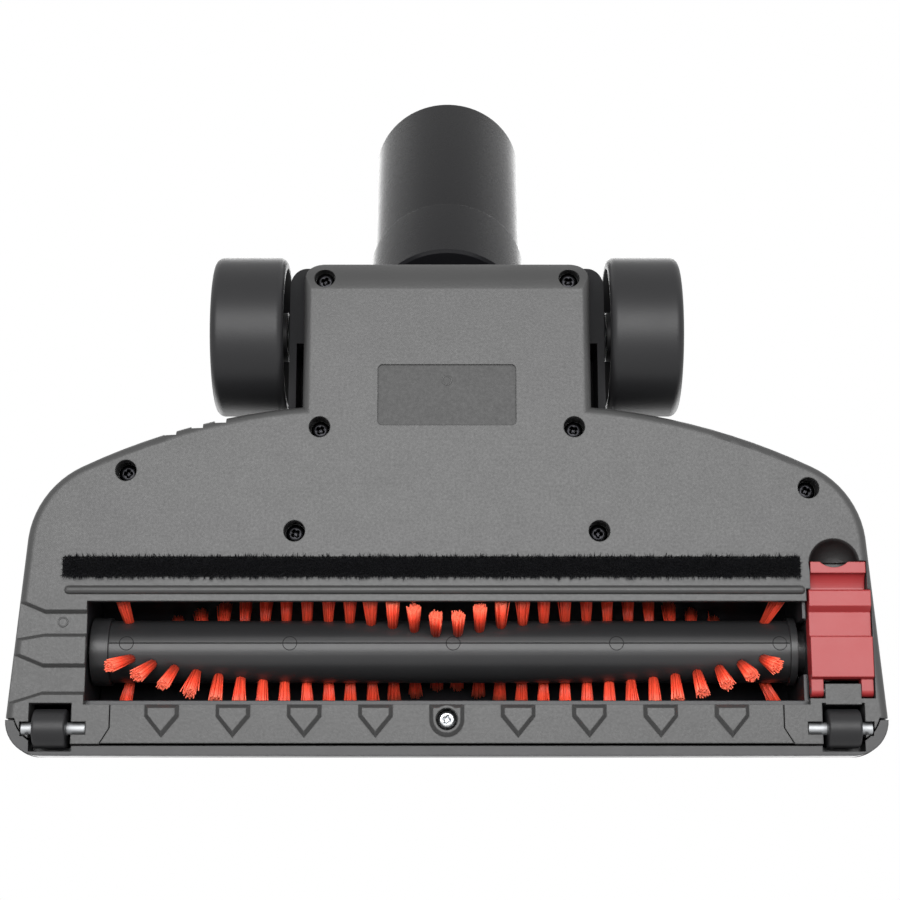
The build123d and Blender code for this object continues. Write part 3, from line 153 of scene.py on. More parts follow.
# Scatter of the pile's fibres, in metres, or as slopes or shares of a length or radius
BED_IN = 0.0005
BED_SHARE = 0.8
PILE_END_GAP = 0.0004
PILE_FEET = 0.9
PILE_FOOT_IN = 0.0002
PILE_LEAN_BACK = 0.85
PILE_LEAN_FRONT = 1.7
PILE_LEAN_END = 0.9
PILE_STRAY = (0.35, 0.3)
PILE_CLUMPING = 0.35
PILE_EDGE_MORE = 0.25
FIBRE_LENGTHS = (0.7, 1.3)
FIBRE_TAPER = (1.0, 0.8, 0.3)
FIBRE_KINK = 0.00008

# Changes of tone and gloss within one finish, with painted shade in the sole's scoop and a painted
# highlight on the bristle tips
GLOSS_SPREAD = 0.045
# Painted shade: how dark the sole is painted inside the finger scoop
SCOOP_PAINTED_SHADE = 0.05
RECESS_COARSER = 0.16
RIM_COARSER = 0.6
METAL_TONES = (0.8, 1.1)
METAL_GLOSS = (-0.1, 0.12)
METAL_GLOSSIEST = 0.05
BRISTLE_ROOT = 0.7
# Painted highlight: how much the bristle tips are lightened
BRISTLE_TIP_HIGHLIGHT = (1.0, 1.9, 2.2)
BRISTLE_FULL_AT = 0.6
BRISTLE_TONES = (0.82, 1.25)
PILE_TONES = (0.4, 3.0)
PILE_PATCH = 2.0

# Stage, in metres, with the camera's sensor in millimetres
CAMERA_PLACE = (-0.0009, -0.15321, -0.5609)
SENSOR_WIDTH = 36.0
LAMP_TARGET = Vector((0, -0.03, 0.02))
LOWER_LAMP = (0.0, 0.1, -0.8)
LOWER_LAMP_SIZE = (0.95, 0.42)
SIDE_LAMP = (0.95, 0.0, -0.35)
SIDE_LAMP_SIZE = 0.8
TOP_LAMP = (0.7, -0.5, 1.1)
BACK_LAMP = (0.0, 0.7, 1.3)
TOP_LAMP_SIZE = 0.9
FLOOR_TONE = (0.84, 0.84, 0.84, 1.0)
FLOOR_Z = -0.0002
FLOOR_FADE = (0.3, 1.1)
WHITE = (1.0, 1.0, 1.0, 1.0)


def shade(name, text, value):
    """Colour property of one finish."""
    return FloatVectorProperty(
        name=name, description=text, default=value, size=3, min=0.0, max=1.0, subtype="COLOR"
    )


def length(name, text, value):
    """Length property in metres."""
    return FloatProperty(name=name, description=text, default=value, min=0.0, unit="LENGTH")


def power(name, text, value):
    """Lamp power property in watts."""
    return FloatProperty(name=name, description=text, default=value, min=0.0, unit="POWER")


class FLOORHEAD_PG_colours(bpy.types.PropertyGroup):
    """Colours of the finishes."""

    sole: shade("Sole", "Charcoal plastic of the sole and lip", (0.04, 0.04, 0.04))
    cover: shade("Cover", "Black plastic of the cover", (0.015, 0.015, 0.016))
    inside: shade("Inside", "Black plastic inside the head", (0.012, 0.012, 0.014))
    latch: shade("Latch", "Red plastic of the end latch", (0.32, 0.024, 0.026))
    bristle: shade("Bristle", "Red nylon of the tufts", (0.98, 0.095, 0.045))
    core: shade("Core", "Black plastic of the roll", (0.022, 0.022, 0.023))
    neck: shade("Neck", "Black plastic of the neck", (0.007, 0.007, 0.008))
    pile: shade("Pile", "Mohair strip", (0.003, 0.0031, 0.0038))
    wheel: shade("Wheel", "Wheels and rollers", (0.015, 0.015, 0.016))
    steel: shade("Steel", "Pins, axles and sleeve", (0.4, 0.41, 0.42))
    dark_screw: shade("Dark screw", "Blackened screws", (0.02, 0.02, 0.022))


class FLOORHEAD_PG_bristles(bpy.types.PropertyGroup):
    """Sizes of the bristle tufts."""

    strands: IntProperty(name="Strands", description="Filaments in one tuft", default=96, min=8)
    strand_r: length("Strand radius", "Radius of one filament", 0.00019)
    root_r: length("Root radius", "Radius of a tuft at the core", 0.00118)
    tip_r: length("Tip radius", "Radius of a tuft at its tip", 0.00185)


class FLOORHEAD_PG_pile(bpy.types.PropertyGroup):
    """Sizes of the mohair pile."""

    fibres: IntProperty(name="Fibres", description="Fibres in the strip", default=15000, min=100)
    fibre_r: length("Fibre radius", "Radius at the foot of a fibre", 0.00011)
    fibre_h: length("Fibre length", "Length of a fibre above the bed", 0.0012)


class FLOORHEAD_PG_stage(bpy.types.PropertyGroup):
    """Camera, lamps and floor."""

    lens: FloatProperty(name="Lens", description="Focal length", default=80.0, unit="CAMERA")
    tilt: FloatProperty(
        name="Tilt", description="Lean of the view", default=math.radians(12.5), subtype="ANGLE"
    )
    floor_half: length("Floor half size", "Half the width of the floor", 4.0)
    key_power: power("Lower lamp", "Power of the lamp below", 9.0)
    side_power: power("Side lamps", "Power of each side lamp", 3.0)
    top_power: power("Top lamps", "Power of each lamp above", 7.5)
    fill: FloatProperty(name="Fill", description="World light on matt surfaces", default=0.22)


def spot(x, back, z):
    """Point in metres from millimetres, with its Y measured back from the bumper."""
    return Vector((x, FRONT_Y + back, z)) * MM


def node(tree, kind, place, inputs=None, **values):
    """Add a node, then set its properties and its inputs' values."""
    made = tree.nodes.new(kind)
    made.location = place
    for key, value in values.items():
        setattr(made, key, value)
    for key, value in (inputs or {}).items():
        made.inputs[key].default_value = value
    return made


def open_group(name, inputs, outputs):
    """New shader node group with its sockets, and the sockets of its two end nodes."""
    group = bpy.data.node_groups.new(name, "ShaderNodeTree")
    for label, value in inputs.items():
        kind = "NodeSocketVector" if isinstance(value, tuple) else "NodeSocketFloat"
        made = group.interface.new_socket(name=label, in_out="INPUT", socket_type=kind)
        made.default_value = value
    for label in outputs:
        group.interface.new_socket(name=label, in_out="OUTPUT", socket_type="NodeSocketFloat")
    enter = node(group, "NodeGroupInput", (-900, 200))
    leave = node(group, "NodeGroupOutput", (700, 0))
    return group, enter.outputs, leave.inputs


def moulded_grain(name):
    """Group: fine moulded texture, with slow changes of tone and gloss."""
    inputs = {"Grain Scale": 2600.0, "Mottle Scale": 45.0}
    group, given, result = open_group(name, inputs, ("Height", "Tone", "Gloss"))
    place = node(group, "ShaderNodeTexCoord", (-900, -250))
    grain = node(group, "ShaderNodeTexNoise", (-500, 200), {"Detail": 3.0, "Roughness": 0.6})
    mottle = node(group, "ShaderNodeTexNoise", (-500, -50), {"Detail": 4.0})
    gloss = node(group, "ShaderNodeTexNoise", (-500, -300), {"Detail": 5.0, "Roughness": 0.7})
    finer = node(group, "ShaderNodeMath", (-700, -300), {1: 3.7}, operation="MULTIPLY")
    link = group.links.new
    for texture in (grain, mottle, gloss):
        link(place.outputs["Object"], texture.inputs["Vector"])
    link(given["Grain Scale"], grain.inputs["Scale"])
    link(given["Mottle Scale"], mottle.inputs["Scale"])
    link(given["Mottle Scale"], finer.inputs[0])
    link(finer.outputs[0], gloss.inputs["Scale"])
    link(grain.outputs["Fac"], result["Height"])
    link(mottle.outputs["Fac"], result["Tone"])
    link(gloss.outputs["Fac"], result["Gloss"])
    return group


def scuff_and_highlight_edges(name):
    """Group: mask of the edges lightened as scuffing and as a painted highlight, where a softened normal
    leaves the face's own.
    """
    inputs = {"Soft Normal": (0.0, 0.0, 0.0), "Amount": 1.0}
    group, given, result = open_group(name, inputs, ("Mask",))
    face = node(group, "ShaderNodeNewGeometry", (-650, -150))
    dot = node(group, "ShaderNodeVectorMath", (-400, 50), operation="DOT_PRODUCT")
    away = node(group, "ShaderNodeMath", (-200, 50), {0: 1.0}, operation="SUBTRACT", use_clamp=True)
    stronger = node(group, "ShaderNodeMath", (0, 50), operation="MULTIPLY")
    place = node(group, "ShaderNodeTexCoord", (-650, -400))
    patch = node(group, "ShaderNodeTexNoise", (-400, -300), {"Scale": 260.0, "Detail": 6.0})
    both = node(group, "ShaderNodeMath", (250, 0), operation="MULTIPLY", use_clamp=True)
    link = group.links.new
    link(given["Soft Normal"], dot.inputs[0])
    link(face.outputs["Normal"], dot.inputs[1])
    link(dot.outputs["Value"], away.inputs[1])
    link(away.outputs[0], stronger.inputs[0])
    link(given["Amount"], stronger.inputs[1])
    link(place.outputs["Object"], patch.inputs["Vector"])
    link(stronger.outputs[0], both.inputs[0])
    link(patch.outputs["Fac"], both.inputs[1])
    link(both.outputs[0], result["Mask"])
    return group


def painted_shade_ball(name):
    """Group: mask that is 1 inside a ball of a given centre and radius, which places the painted shade of
    the sole's scoop.
    """
    inputs = {"Centre": (0.0, 0.0, 0.0), "Radius": 0.005}
    group, given, result = open_group(name, inputs, ("Mask",))
    place = node(group, "ShaderNodeTexCoord", (-700, -250))
    far = node(group, "ShaderNodeVectorMath", (-400, 0), operation="DISTANCE")
    inside = node(group, "ShaderNodeMath", (-150, 0), operation="SUBTRACT")
    sharp = node(group, "ShaderNodeMath", (100, 0), {1: 2500.0}, operation="MULTIPLY", use_clamp=True)
    link = group.links.new
    link(place.outputs["Object"], far.inputs[0])
    link(given["Centre"], far.inputs[1])
    link(given["Radius"], inside.inputs[0])
    link(far.outputs["Value"], inside.inputs[1])
    link(inside.outputs[0], sharp.inputs[0])
    link(sharp.outputs[0], result["Mask"])
    return group


def height_band(name):
    """Group: mask that is 1 on faces within a band of heights."""
    group, given, result = open_group(name, {"Height": 0.0, "Half Band": 0.0001}, ("Mask",))
    place = node(group, "ShaderNodeTexCoord", (-900, -250))
    parts = node(group, "ShaderNodeSeparateXYZ", (-700, -250))
    near = node(group, "ShaderNodeMath", (-300, 0), operation="COMPARE")
    link = group.links.new
    link(place.outputs["Object"], parts.inputs["Vector"])
    link(parts.outputs["Z"], near.inputs[0])
    link(given["Height"], near.inputs[1])
    link(given["Half Band"], near.inputs[2])
    link(near.outputs[0], result["Mask"])
    return group


def rear_rim(name):
    """Group: mask of the faces that look down behind a given Y."""
    group, given, result = open_group(name, {"From Y": 0.0}, ("Mask",))
    place = node(group, "ShaderNodeTexCoord", (-900, 0))
    parts = node(group, "ShaderNodeSeparateXYZ", (-700, 0))
    behind = node(group, "ShaderNodeMath", (-400, 100), operation="GREATER_THAN")
    face = node(group, "ShaderNodeNewGeometry", (-900, -300))
    way = node(group, "ShaderNodeSeparateXYZ", (-700, -300))
    down = node(group, "ShaderNodeMath", (-400, -200), {1: -0.2}, operation="LESS_THAN")
    both = node(group, "ShaderNodeMath", (-100, 0), operation="MULTIPLY")
    link = group.links.new
    link(place.outputs["Object"], parts.inputs["Vector"])
    link(parts.outputs["Y"], behind.inputs[0])
    link(given["From Y"], behind.inputs[1])
    link(face.outputs["Normal"], way.inputs["Vector"])
    link(way.outputs["Z"], down.inputs[0])
    link(behind.outputs[0], both.inputs[0])
    link(down.outputs[0], both.inputs[1])
    link(both.outputs[0], result["Mask"])
    return group


def turned_lines(name):
    """Group: fine lines round a turned metal pin, across X."""
    group, given, result = open_group(name, {"Line Scale": 900.0}, ("Height",))
    place = node(group, "ShaderNodeTexCoord", (-900, -200))
    stretch = node(group, "ShaderNodeMapping", (-650, -200), {"Scale": (1.0, 0.05, 0.05)})
    noise = node(group, "ShaderNodeTexNoise", (-350, 0), {"Detail": 4.0})
    link = group.links.new
    link(place.outputs["Object"], stretch.inputs["Vector"])
    link(stretch.outputs["Vector"], noise.inputs["Vector"])
    link(given["Line Scale"], noise.inputs["Scale"])
    link(noise.outputs["Fac"], result["Height"])
    return group


def scaled(colour, factor):
    """Colour made lighter or darker, with an alpha."""
    return tuple(min(1.0, c * factor) for c in colour) + (1.0,)


def start_material(name, inputs):
    """Node material with its output and its shader, whose plain inputs are set."""
    material = bpy.data.materials.new(name)
    material.use_nodes = True
    tree = material.node_tree
    tree.nodes.clear()
    out = node(tree, "ShaderNodeOutputMaterial", (900, 0))
    shader = node(tree, "ShaderNodeBsdfPrincipled", (550, 0), inputs)
    tree.links.new(shader.outputs["BSDF"], out.inputs["Surface"])
    return material, tree, shader


def place_group(tree, make, place, inputs):
    """Put a shared node group, made at its first use, in a material with its own values."""
    name = make.__name__.replace("_", " ")
    group = bpy.data.node_groups.get(name) or make(name)
    return node(tree, "ShaderNodeGroup", place, inputs, node_tree=group)


def colour_mix(tree, place, low, high):
    """Mix of two colours, by a factor that is linked later."""
    return node(tree, "ShaderNodeMix", place, {"A": low, "B": high}, data_type="RGBA")


def spread(tree, place, low, high):
    """Map of a texture's 0 to 1 onto a range of values."""
    return node(tree, "ShaderNodeMapRange", place, {"To Min": low, "To Max": high})


def relief(tree, shader, height, round_r, strength, distance):
    """Fine relief over softened edges, as the shader's normal."""
    link = tree.links.new
    bevel = node(tree, "ShaderNodeBevel", (-950, -350), {"Radius": round_r}, samples=4)
    bump = node(tree, "ShaderNodeBump", (250, -250), {"Strength": strength, "Distance": distance})
    link(height, bump.inputs["Height"])
    link(bevel.outputs["Normal"], bump.inputs["Normal"])
    link(bump.outputs["Normal"], shader.inputs["Normal"])
    return bevel


def plastic(
    name, colour, rough, grain=2600.0, height=0.00002, mottle=0.12, round_r=0.0004, scuff_highlight_gain=1.4, scuff_highlight_tone=2.2,
    shine=0.5, speckle=0.1, painted_shade_pocket=None, coarse_z=None, dull_from=None,
):
    """Moulded plastic: grain, slow tone, soft edges lightened as scuffing and as a painted highlight and,
    if asked, a scoop darkened with painted shade and coarse faces.
    """
    material, tree, shader = start_material(name, {"Specular IOR Level": shine})
    link = tree.links.new
    texture = place_group(tree, moulded_grain, (-700, 100), {"Grain Scale": grain})
    scuffed_lit_edges = place_group(tree, scuff_and_highlight_edges, (-700, -200), {"Amount": scuff_highlight_gain})
    bevel = relief(tree, shader, texture.outputs["Height"], round_r, strength=0.5, distance=height)
    link(bevel.outputs["Normal"], scuffed_lit_edges.inputs["Soft Normal"])
    tone = colour_mix(tree, (-350, 250), scaled(colour, 1 - mottle), scaled(colour, 1 + mottle))
    link(texture.outputs["Tone"], tone.inputs["Factor"])
    # Painted highlight as well as scuffing: the colour is lightened along the edges, in place of the light
    # that rounded edges catch
    final = colour_mix(tree, (-100, 200), scaled(colour, 1.0), scaled(colour, scuff_highlight_tone))
    link(tone.outputs["Result"], final.inputs["A"])
    link(scuffed_lit_edges.outputs["Mask"], final.inputs["Factor"])
    if painted_shade_pocket:
        centre, radius = painted_shade_pocket
        hollow = place_group(tree, painted_shade_ball, (-100, 450), {"Centre": centre, "Radius": radius})
        tone_before_shade = final
        # Painted shade: inside the finger scoop the sole's colour is darkened, standing in for the shade
        # that falls in the recess
        final = colour_mix(tree, (150, 300), scaled(colour, 1.0), scaled(colour, SCOOP_PAINTED_SHADE))
        link(tone_before_shade.outputs["Result"], final.inputs["A"])
        link(hollow.outputs["Mask"], final.inputs["Factor"])
    link(final.outputs["Result"], shader.inputs["Base Color"])
    middle = rough - speckle / 2
    gloss = spread(tree, (-350, -50), middle - GLOSS_SPREAD, middle + GLOSS_SPREAD)
    link(texture.outputs["Gloss"], gloss.inputs["Value"])
    masks = [(texture.outputs["Height"], speckle)]
    if coarse_z is not None:
        band = place_group(tree, height_band, (-350, -300), {"Height": coarse_z})
        masks.append((band.outputs["Mask"], RECESS_COARSER))
    if dull_from is not None:
        rim = place_group(tree, rear_rim, (-350, -300), {"From Y": dull_from})
        masks.append((rim.outputs["Mask"], RIM_COARSER))
    dull = gloss.outputs["Result"]
    for mask, more in masks:
        add = node(tree, "ShaderNodeMath", (100, -100), {1: more}, operation="MULTIPLY_ADD", use_clamp=True)
        link(mask, add.inputs[0])
        link(dull, add.inputs[2])
        dull = add.outputs[0]
    link(dull, shader.inputs["Roughness"])
    return material


def metal(name, colour, rough, lines=900.0):
    """Turned or plated metal with fine lines and slight stains."""
    if name in bpy.data.materials:
        return bpy.data.materials[name]
    material, tree, shader = start_material(name, {"Metallic": 1.0})
    link = tree.links.new
    stain = place_group(tree, moulded_grain, (-700, 100), {"Grain Scale": 1500.0, "Mottle Scale": 220.0})
    turned = place_group(tree, turned_lines, (-700, -200), {"Line Scale": lines})
    tone = colour_mix(tree, (-350, 200), *(scaled(colour, factor) for factor in METAL_TONES))
    link(stain.outputs["Tone"], tone.inputs["Factor"])
    link(tone.outputs["Result"], shader.inputs["Base Color"])
    low, high = (max(METAL_GLOSSIEST, rough + more) for more in METAL_GLOSS)
    gloss = spread(tree, (-350, -50), low, high)
    link(stain.outputs["Gloss"], gloss.inputs["Value"])
    link(gloss.outputs["Result"], shader.inputs["Roughness"])
    relief(tree, shader, turned.outputs["Height"], round_r=0.0002, strength=0.35, distance=0.00002)
    return material


def turned_steel(colours):
    """Steel of the axles, pins, bushes and sleeve."""
    return metal("turned steel", colours.steel, 0.3)


def nylon(colour):
    """Bristle nylon: each strand has its own tone, darker at the root and paler at the cut tip, where the
    paler colour is a painted highlight.
    """
    inputs = {"Roughness": 0.36, "Specular IOR Level": 0.35}
    material, tree, shader = start_material("bristle nylon", inputs)
    link = tree.links.new
    along = node(tree, "ShaderNodeAttribute", (-700, 200), attribute_name="along")
    strand = node(tree, "ShaderNodeNewGeometry", (-700, -100))
    length_tone = node(tree, "ShaderNodeValToRGB", (-450, 200))
    ramp = length_tone.color_ramp
    ramp.elements[0].color = scaled(colour, BRISTLE_ROOT)
    # Painted highlight: the tip colour is lightened in place of the lamp's reflection on the cut ends
    ramp.elements[1].color = scaled([c * more for c, more in zip(colour, BRISTLE_TIP_HIGHLIGHT)], 1.0)
    middle = ramp.elements.new(BRISTLE_FULL_AT)
    middle.color = scaled(colour, 1.0)
    own_tone = spread(tree, (-450, -100), *BRISTLE_TONES)
    tone = node(tree, "ShaderNodeVectorMath", (-100, 100), operation="SCALE")
    link(along.outputs["Fac"], length_tone.inputs["Fac"])
    link(strand.outputs["Random Per Island"], own_tone.inputs["Value"])
    link(length_tone.outputs["Color"], tone.inputs[0])
    link(own_tone.outputs["Result"], tone.inputs["Scale"])
    link(tone.outputs["Vector"], shader.inputs["Base Color"])
    return material


def pile_cloth(colour):
    """Mohair: near black, with paler fibre tips."""
    inputs = {"Roughness": 0.9, "Sheen Weight": 0.02, "Specular IOR Level": 0.1, "Sheen Roughness": 0.5}
    material, tree, shader = start_material("mohair pile", inputs)
    link = tree.links.new
    along = node(tree, "ShaderNodeAttribute", (-700, 200), attribute_name="along")
    grain = place_group(tree, moulded_grain, (-700, -100), {"Grain Scale": 1800.0, "Mottle Scale": 160.0})
    tips = colour_mix(tree, (-350, 200), *(scaled(colour, factor) for factor in PILE_TONES))
    link(along.outputs["Fac"], tips.inputs["Factor"])
    patch = colour_mix(tree, (-100, 100), scaled(colour, 1.0), scaled(colour, PILE_PATCH))
    link(tips.outputs["Result"], patch.inputs["A"])
    link(grain.outputs["Tone"], patch.inputs["Factor"])
    link(patch.outputs["Result"], shader.inputs["Base Color"])
    return material


def dress(material, *names):
    """Give CAD nodes a material."""
    for name in names:
        slots = NODES[name].data.materials
        slots.clear()
        slots.append(material)


def new_piece(name, mesh, material, body):
    """Add a finished mesh as a piece that rides on a body."""
    piece = bpy.data.objects.new(name, mesh)
    bpy.context.scene.collection.objects.link(piece)
    mesh.materials.append(material)
    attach(piece, body)
    return piece


def mesh_of(name, points, faces, along=None, smooth=True):
    """Mesh from points and faces, with an optional value along each strand."""
    mesh = bpy.data.meshes.new(name)
    mesh.from_pydata(points, [], faces)
    if along is not None:
        values = mesh.attributes.new("along", "FLOAT", "POINT")
        values.data.foreach_set("value", along)
    mesh.polygons.foreach_set("use_smooth", [smooth] * len(mesh.polygons))
    mesh.update()
    return mesh


def add_band(faces, low, high, count):
    """Add the quads between two closed rings of points."""
    for step in range(count):
        other = (step + 1) % count
        faces.append((low + step, low + other, high + other, high + step))


def add_strip(faces, here, there, count):
    """Add the quads between two open rows of points."""
    for index in range(count - 1):
        faces.append((here + index, here + index + 1, there + index + 1, there + index))


def add_ring(points, faces, rows):
    """Add a closed ring made of like rows of points."""
    first = len(points)
    count = len(rows[0])
    for row in rows:
        points += row
    for step in range(len(rows)):
        other = (step + 1) % len(rows)
        add_strip(faces, first + step * count, first + other * count, count)


def across(way):
    """Two unit directions square to a way."""
    side = Vector((1, 0, 0)) if abs(way.x) < 0.8 else Vector((0, 1, 0))
    first = way.cross(side).normalized()
    return first, way.cross(first).normalized()


def add_strand(points, faces, along, path, radii, sides):
    """Add one thin strand along a path, closed at both ends."""
    first = len(points)
    one, two = across((path[-1] - path[0]).normalized())
    for level, (middle, radius) in enumerate(zip(path, radii)):
        for side in range(sides):
            turn = math.tau * side / sides
            points.append(middle + radius * (math.cos(turn) * one + math.sin(turn) * two))
            along.append(level / (len(path) - 1))
    for level in range(len(path) - 1):
        low = first + level * sides
        add_band(faces, low, low + sides, sides)
    top = first + (len(path) - 1) * sides
    faces.append(tuple(range(top, top + sides)))
    faces.append(tuple(range(first + sides - 1, first - 1, -1)))


def tuft_places():
    """Foot, way and length of every tuft, in metres."""
    places = []
    for side in (-1, 1):
        spots = []
        for index in range(TUFTS_SIDE):
            x = (index + 0.5) * TUFT_PITCH
            angle = TUFT_START + TUFT_TWIST * (TUFT_OUTER - x)
            splay = TUFT_SPLAY[side] * max(0, 1 - (TUFT_OUTER - x) / SPLAY_REACH)
            spots += [(x, angle, splay), (x, angle - 180, splay)]
        for turn in (-EDGE_TUFT_TURN, EDGE_TUFT_TURN):
            spots.append((EDGE_TUFT_X, TUFT_START + turn, EDGE_SPLAY[side]))
        for x, angle, splay in spots:
            turn = math.radians(angle)
            lean = math.radians(splay)
            out = Vector((0, -math.sin(turn), -math.cos(turn)))
            way = Vector((side * math.sin(lean), 0, 0)) + out * math.cos(lean)
            foot = Vector((side * x, ROLL_Y, ROLL_Z)) + out * CORE_R
            places.append((foot * MM, way, (TUFT_TIP_R - CORE_R) / math.cos(lean) * MM))
    return places


class FLOORHEAD_OT_housing(bpy.types.Operator):
    """Finish the sole, the toothed lip and the cover"""

    bl_idname = "floorhead.housing"
    bl_label = "Finish the housing"

    def execute(self, context):
        colours = context.scene.floorhead_colours
        # The sole's finger scoop gets painted shade, and its edges a painted highlight besides scuffing
        sole = plastic(
            "charcoal sole plastic", colours.sole, 0.44,
            grain=1300.0, height=0.00009, scuff_highlight_gain=1.0, scuff_highlight_tone=1.6, speckle=0.28,
            painted_shade_pocket=(spot(*SCOOP_PLACE), SCOOP_R * MM), coarse_z=RECESS_Z * MM,
        )
        cover = plastic(
            "black cover plastic", colours.cover, 0.36,
            grain=3000.0, scuff_highlight_tone=2.5, shine=0.4, dull_from=(FRONT_Y + TAIL_BACK) * MM,
        )
        dress(sole, "sole_plate", "front_lip")
        dress(cover, "top_cover")
        new_piece("sole_mould_marks", self.marks(), sole, "base")
        new_piece("sole_bead", self.bead(), sole, "base")
        return {"FINISHED"}

    @staticmethod
    def marks(steps=32):
        """Low rings with sloped sides that stand down from the sole."""
        half, rise = SOLE_MARK_W, SOLE_MARK_H
        section = ((-half, rise), (-half / 3, -rise), (half / 3, -rise), (half, rise))
        points = []
        faces = []
        for x, back, z in SOLE_MARKS:
            rows = []
            for step in range(steps):
                turn = math.tau * step / steps
                row = []
                for out, up in section:
                    reach = SOLE_MARK_R + out
                    row.append(spot(x + reach * math.cos(turn), back + reach * math.sin(turn), z + up))
                rows.append(row)
            add_ring(points, faces, rows)
        return mesh_of("sole_mould_marks", points, faces)

    @staticmethod
    def bead(steps=24, levels=8):
        """Half-round bead with round ends over the rib behind the mouth."""
        middle, back = BEAD_PLACE
        section = [(BEAD_R, -SEAT)]
        for level in range(levels):
            turn = math.pi / 2 * level / levels
            section.append((BEAD_R * math.cos(turn), BEAD_R * math.sin(turn)))
        points = []
        for reach, down in section:
            for step in range(steps):
                turn = math.tau * (step + 0.5) / steps
                x = middle + math.copysign(BEAD_HALF, math.cos(turn)) + reach * math.cos(turn)
                points.append(spot(x, back + reach * math.sin(turn), SOLE_Z - down))
        faces = [tuple(range(steps))]
        for level in range(levels):
            low = level * steps
            add_band(faces, low + steps, low, steps)
        last = levels * steps
        faces.append(tuple(range(last + steps - 1, last - 1, -1)))
        return mesh_of("sole_bead", points, faces)


class FLOORHEAD_OT_inside(bpy.types.Operator):
    """Finish the chamber, the duct and the drive"""

    bl_idname = "floorhead.inside"
    bl_label = "Finish the inside"

    def execute(self, context):
        colours = context.scene.floorhead_colours
        inside = plastic("black inner plastic", colours.inside, 0.42, scuff_highlight_tone=2.5, shine=0.5)
        belt = plastic("belt rubber", colours.inside, 0.75, grain=1200.0, height=0.00005)
        can = metal("plated can", scaled(colours.steel, 0.7)[:3], 0.4, lines=300.0)
        dress(inside, "brush_chamber", "air_duct", "drive_plate", "motor_end_cap", "motor_cradle")
        dress(inside, "motor_pulley", "roll_pulley")
        dress(belt, "drive_belt")
        dress(turned_steel(colours), "roll_bearing", "shaft_bush", "motor_shaft")
        dress(can, "motor_can")
        return {"FINISHED"}


class FLOORHEAD_OT_roll(bpy.types.Operator):
    """Finish the roll, with its parting line and round moulding marks"""

    bl_idname = "floorhead.roll"
    bl_label = "Finish the brush roll"

    def execute(self, context):
        colours = context.scene.floorhead_colours
        core = plastic("black roll plastic", colours.core, 0.34, height=0.00003, scuff_highlight_tone=2.0, shine=0.4)
        dress(core, "roll_core", "roll_hub", "end_bush")
        dress(turned_steel(colours), "roll_axle")
        # Painted shade: the parting line and pin rings are a darker plastic than the core, in place of the
        # shade in the parting groove
        seam = plastic("black roll seam", scaled(colours.core, 0.3)[:3], 0.6, round_r=0.00005, shine=0.1)
        points = []
        faces = []
        self.add_line(points, faces)
        for index in range(-2, 3):
            self.add_mark(points, faces, ROLL_MARK_MIDDLE + index * ROLL_MARK_PITCH)
        mesh = mesh_of("roll_marks", points, faces)
        new_piece("roll_marks", mesh, seam, "brush_roll")
        return {"FINISHED"}

    @staticmethod
    def on_core(x, aside, rise):
        """Point on the roll, by its X, its distance round from the parting line and its rise."""
        turn = math.radians(PARTING_TURN) + aside / CORE_R
        radius = CORE_R + rise
        return Vector((x, ROLL_Y - radius * math.sin(turn), ROLL_Z - radius * math.cos(turn))) * MM

    def add_line(self, points, faces):
        """Raised witness line along the roll."""
        half = PARTING_HALF
        section = ((-2 * half, SUNK), (-half, PROUD), (half, PROUD), (2 * half, SUNK))
        first = len(points)
        count = len(section)
        for x in PARTING_ENDS:
            points += [self.on_core(x, aside, rise) for aside, rise in section]
        add_strip(faces, first, first + count, count)

    def add_mark(self, points, faces, x, steps=40):
        """Raised ring left by a mould pin."""
        section = tuple(zip(ROLL_MARK_R, (SUNK, PROUD, PROUD, SUNK)))
        rows = []
        for step in range(steps):
            turn = math.tau * step / steps
            along, round_core = math.cos(turn), math.sin(turn)
            rows.append([self.on_core(x + r * along, r * round_core, rise) for r, rise in section])
        add_ring(points, faces, rows)


class FLOORHEAD_OT_tufts(bpy.types.Operator):
    """Build every tuft of the roll as a bundle of filaments"""

    bl_idname = "floorhead.tufts"
    bl_label = "Make the tufts"

    def execute(self, context):
        sizes = context.scene.floorhead_bristles
        draw = random.Random(7)
        points = []
        faces = []
        along = []
        for foot, way, reach in tuft_places():
            one, two = across(way)
            for index in range(sizes.strands):
                share = math.sqrt((index + 0.5) / sizes.strands)
                turn = index * GOLDEN_TURN + draw.uniform(-STRAND_SWAY, STRAND_SWAY)
                side = math.cos(turn) * one + math.sin(turn) * two
                stray = draw.gauss(0, TIP_STRAY if draw.random() < TAME_SHARE else WILD_STRAY)
                tall = reach * draw.uniform(*STRAND_LENGTHS)
                root = foot - way * ROOT_IN + side * share * sizes.root_r
                tip = foot + way * tall + side * (share * sizes.tip_r + stray)
                belly = root.lerp(tip, BELLY_AT) + side * draw.uniform(*BELLY_OUT)
                radii = [sizes.strand_r * taper for taper in STRAND_TAPER]
                add_strand(points, faces, along, (root, belly, tip), radii, sides=4)
        mesh = mesh_of("bristle_tufts", points, faces, along)
        colour = context.scene.floorhead_colours.bristle
        piece = new_piece("bristle_tufts", mesh, nylon(colour), "brush_roll")
        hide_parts("roll_tufts")
        return {"FINISHED"}


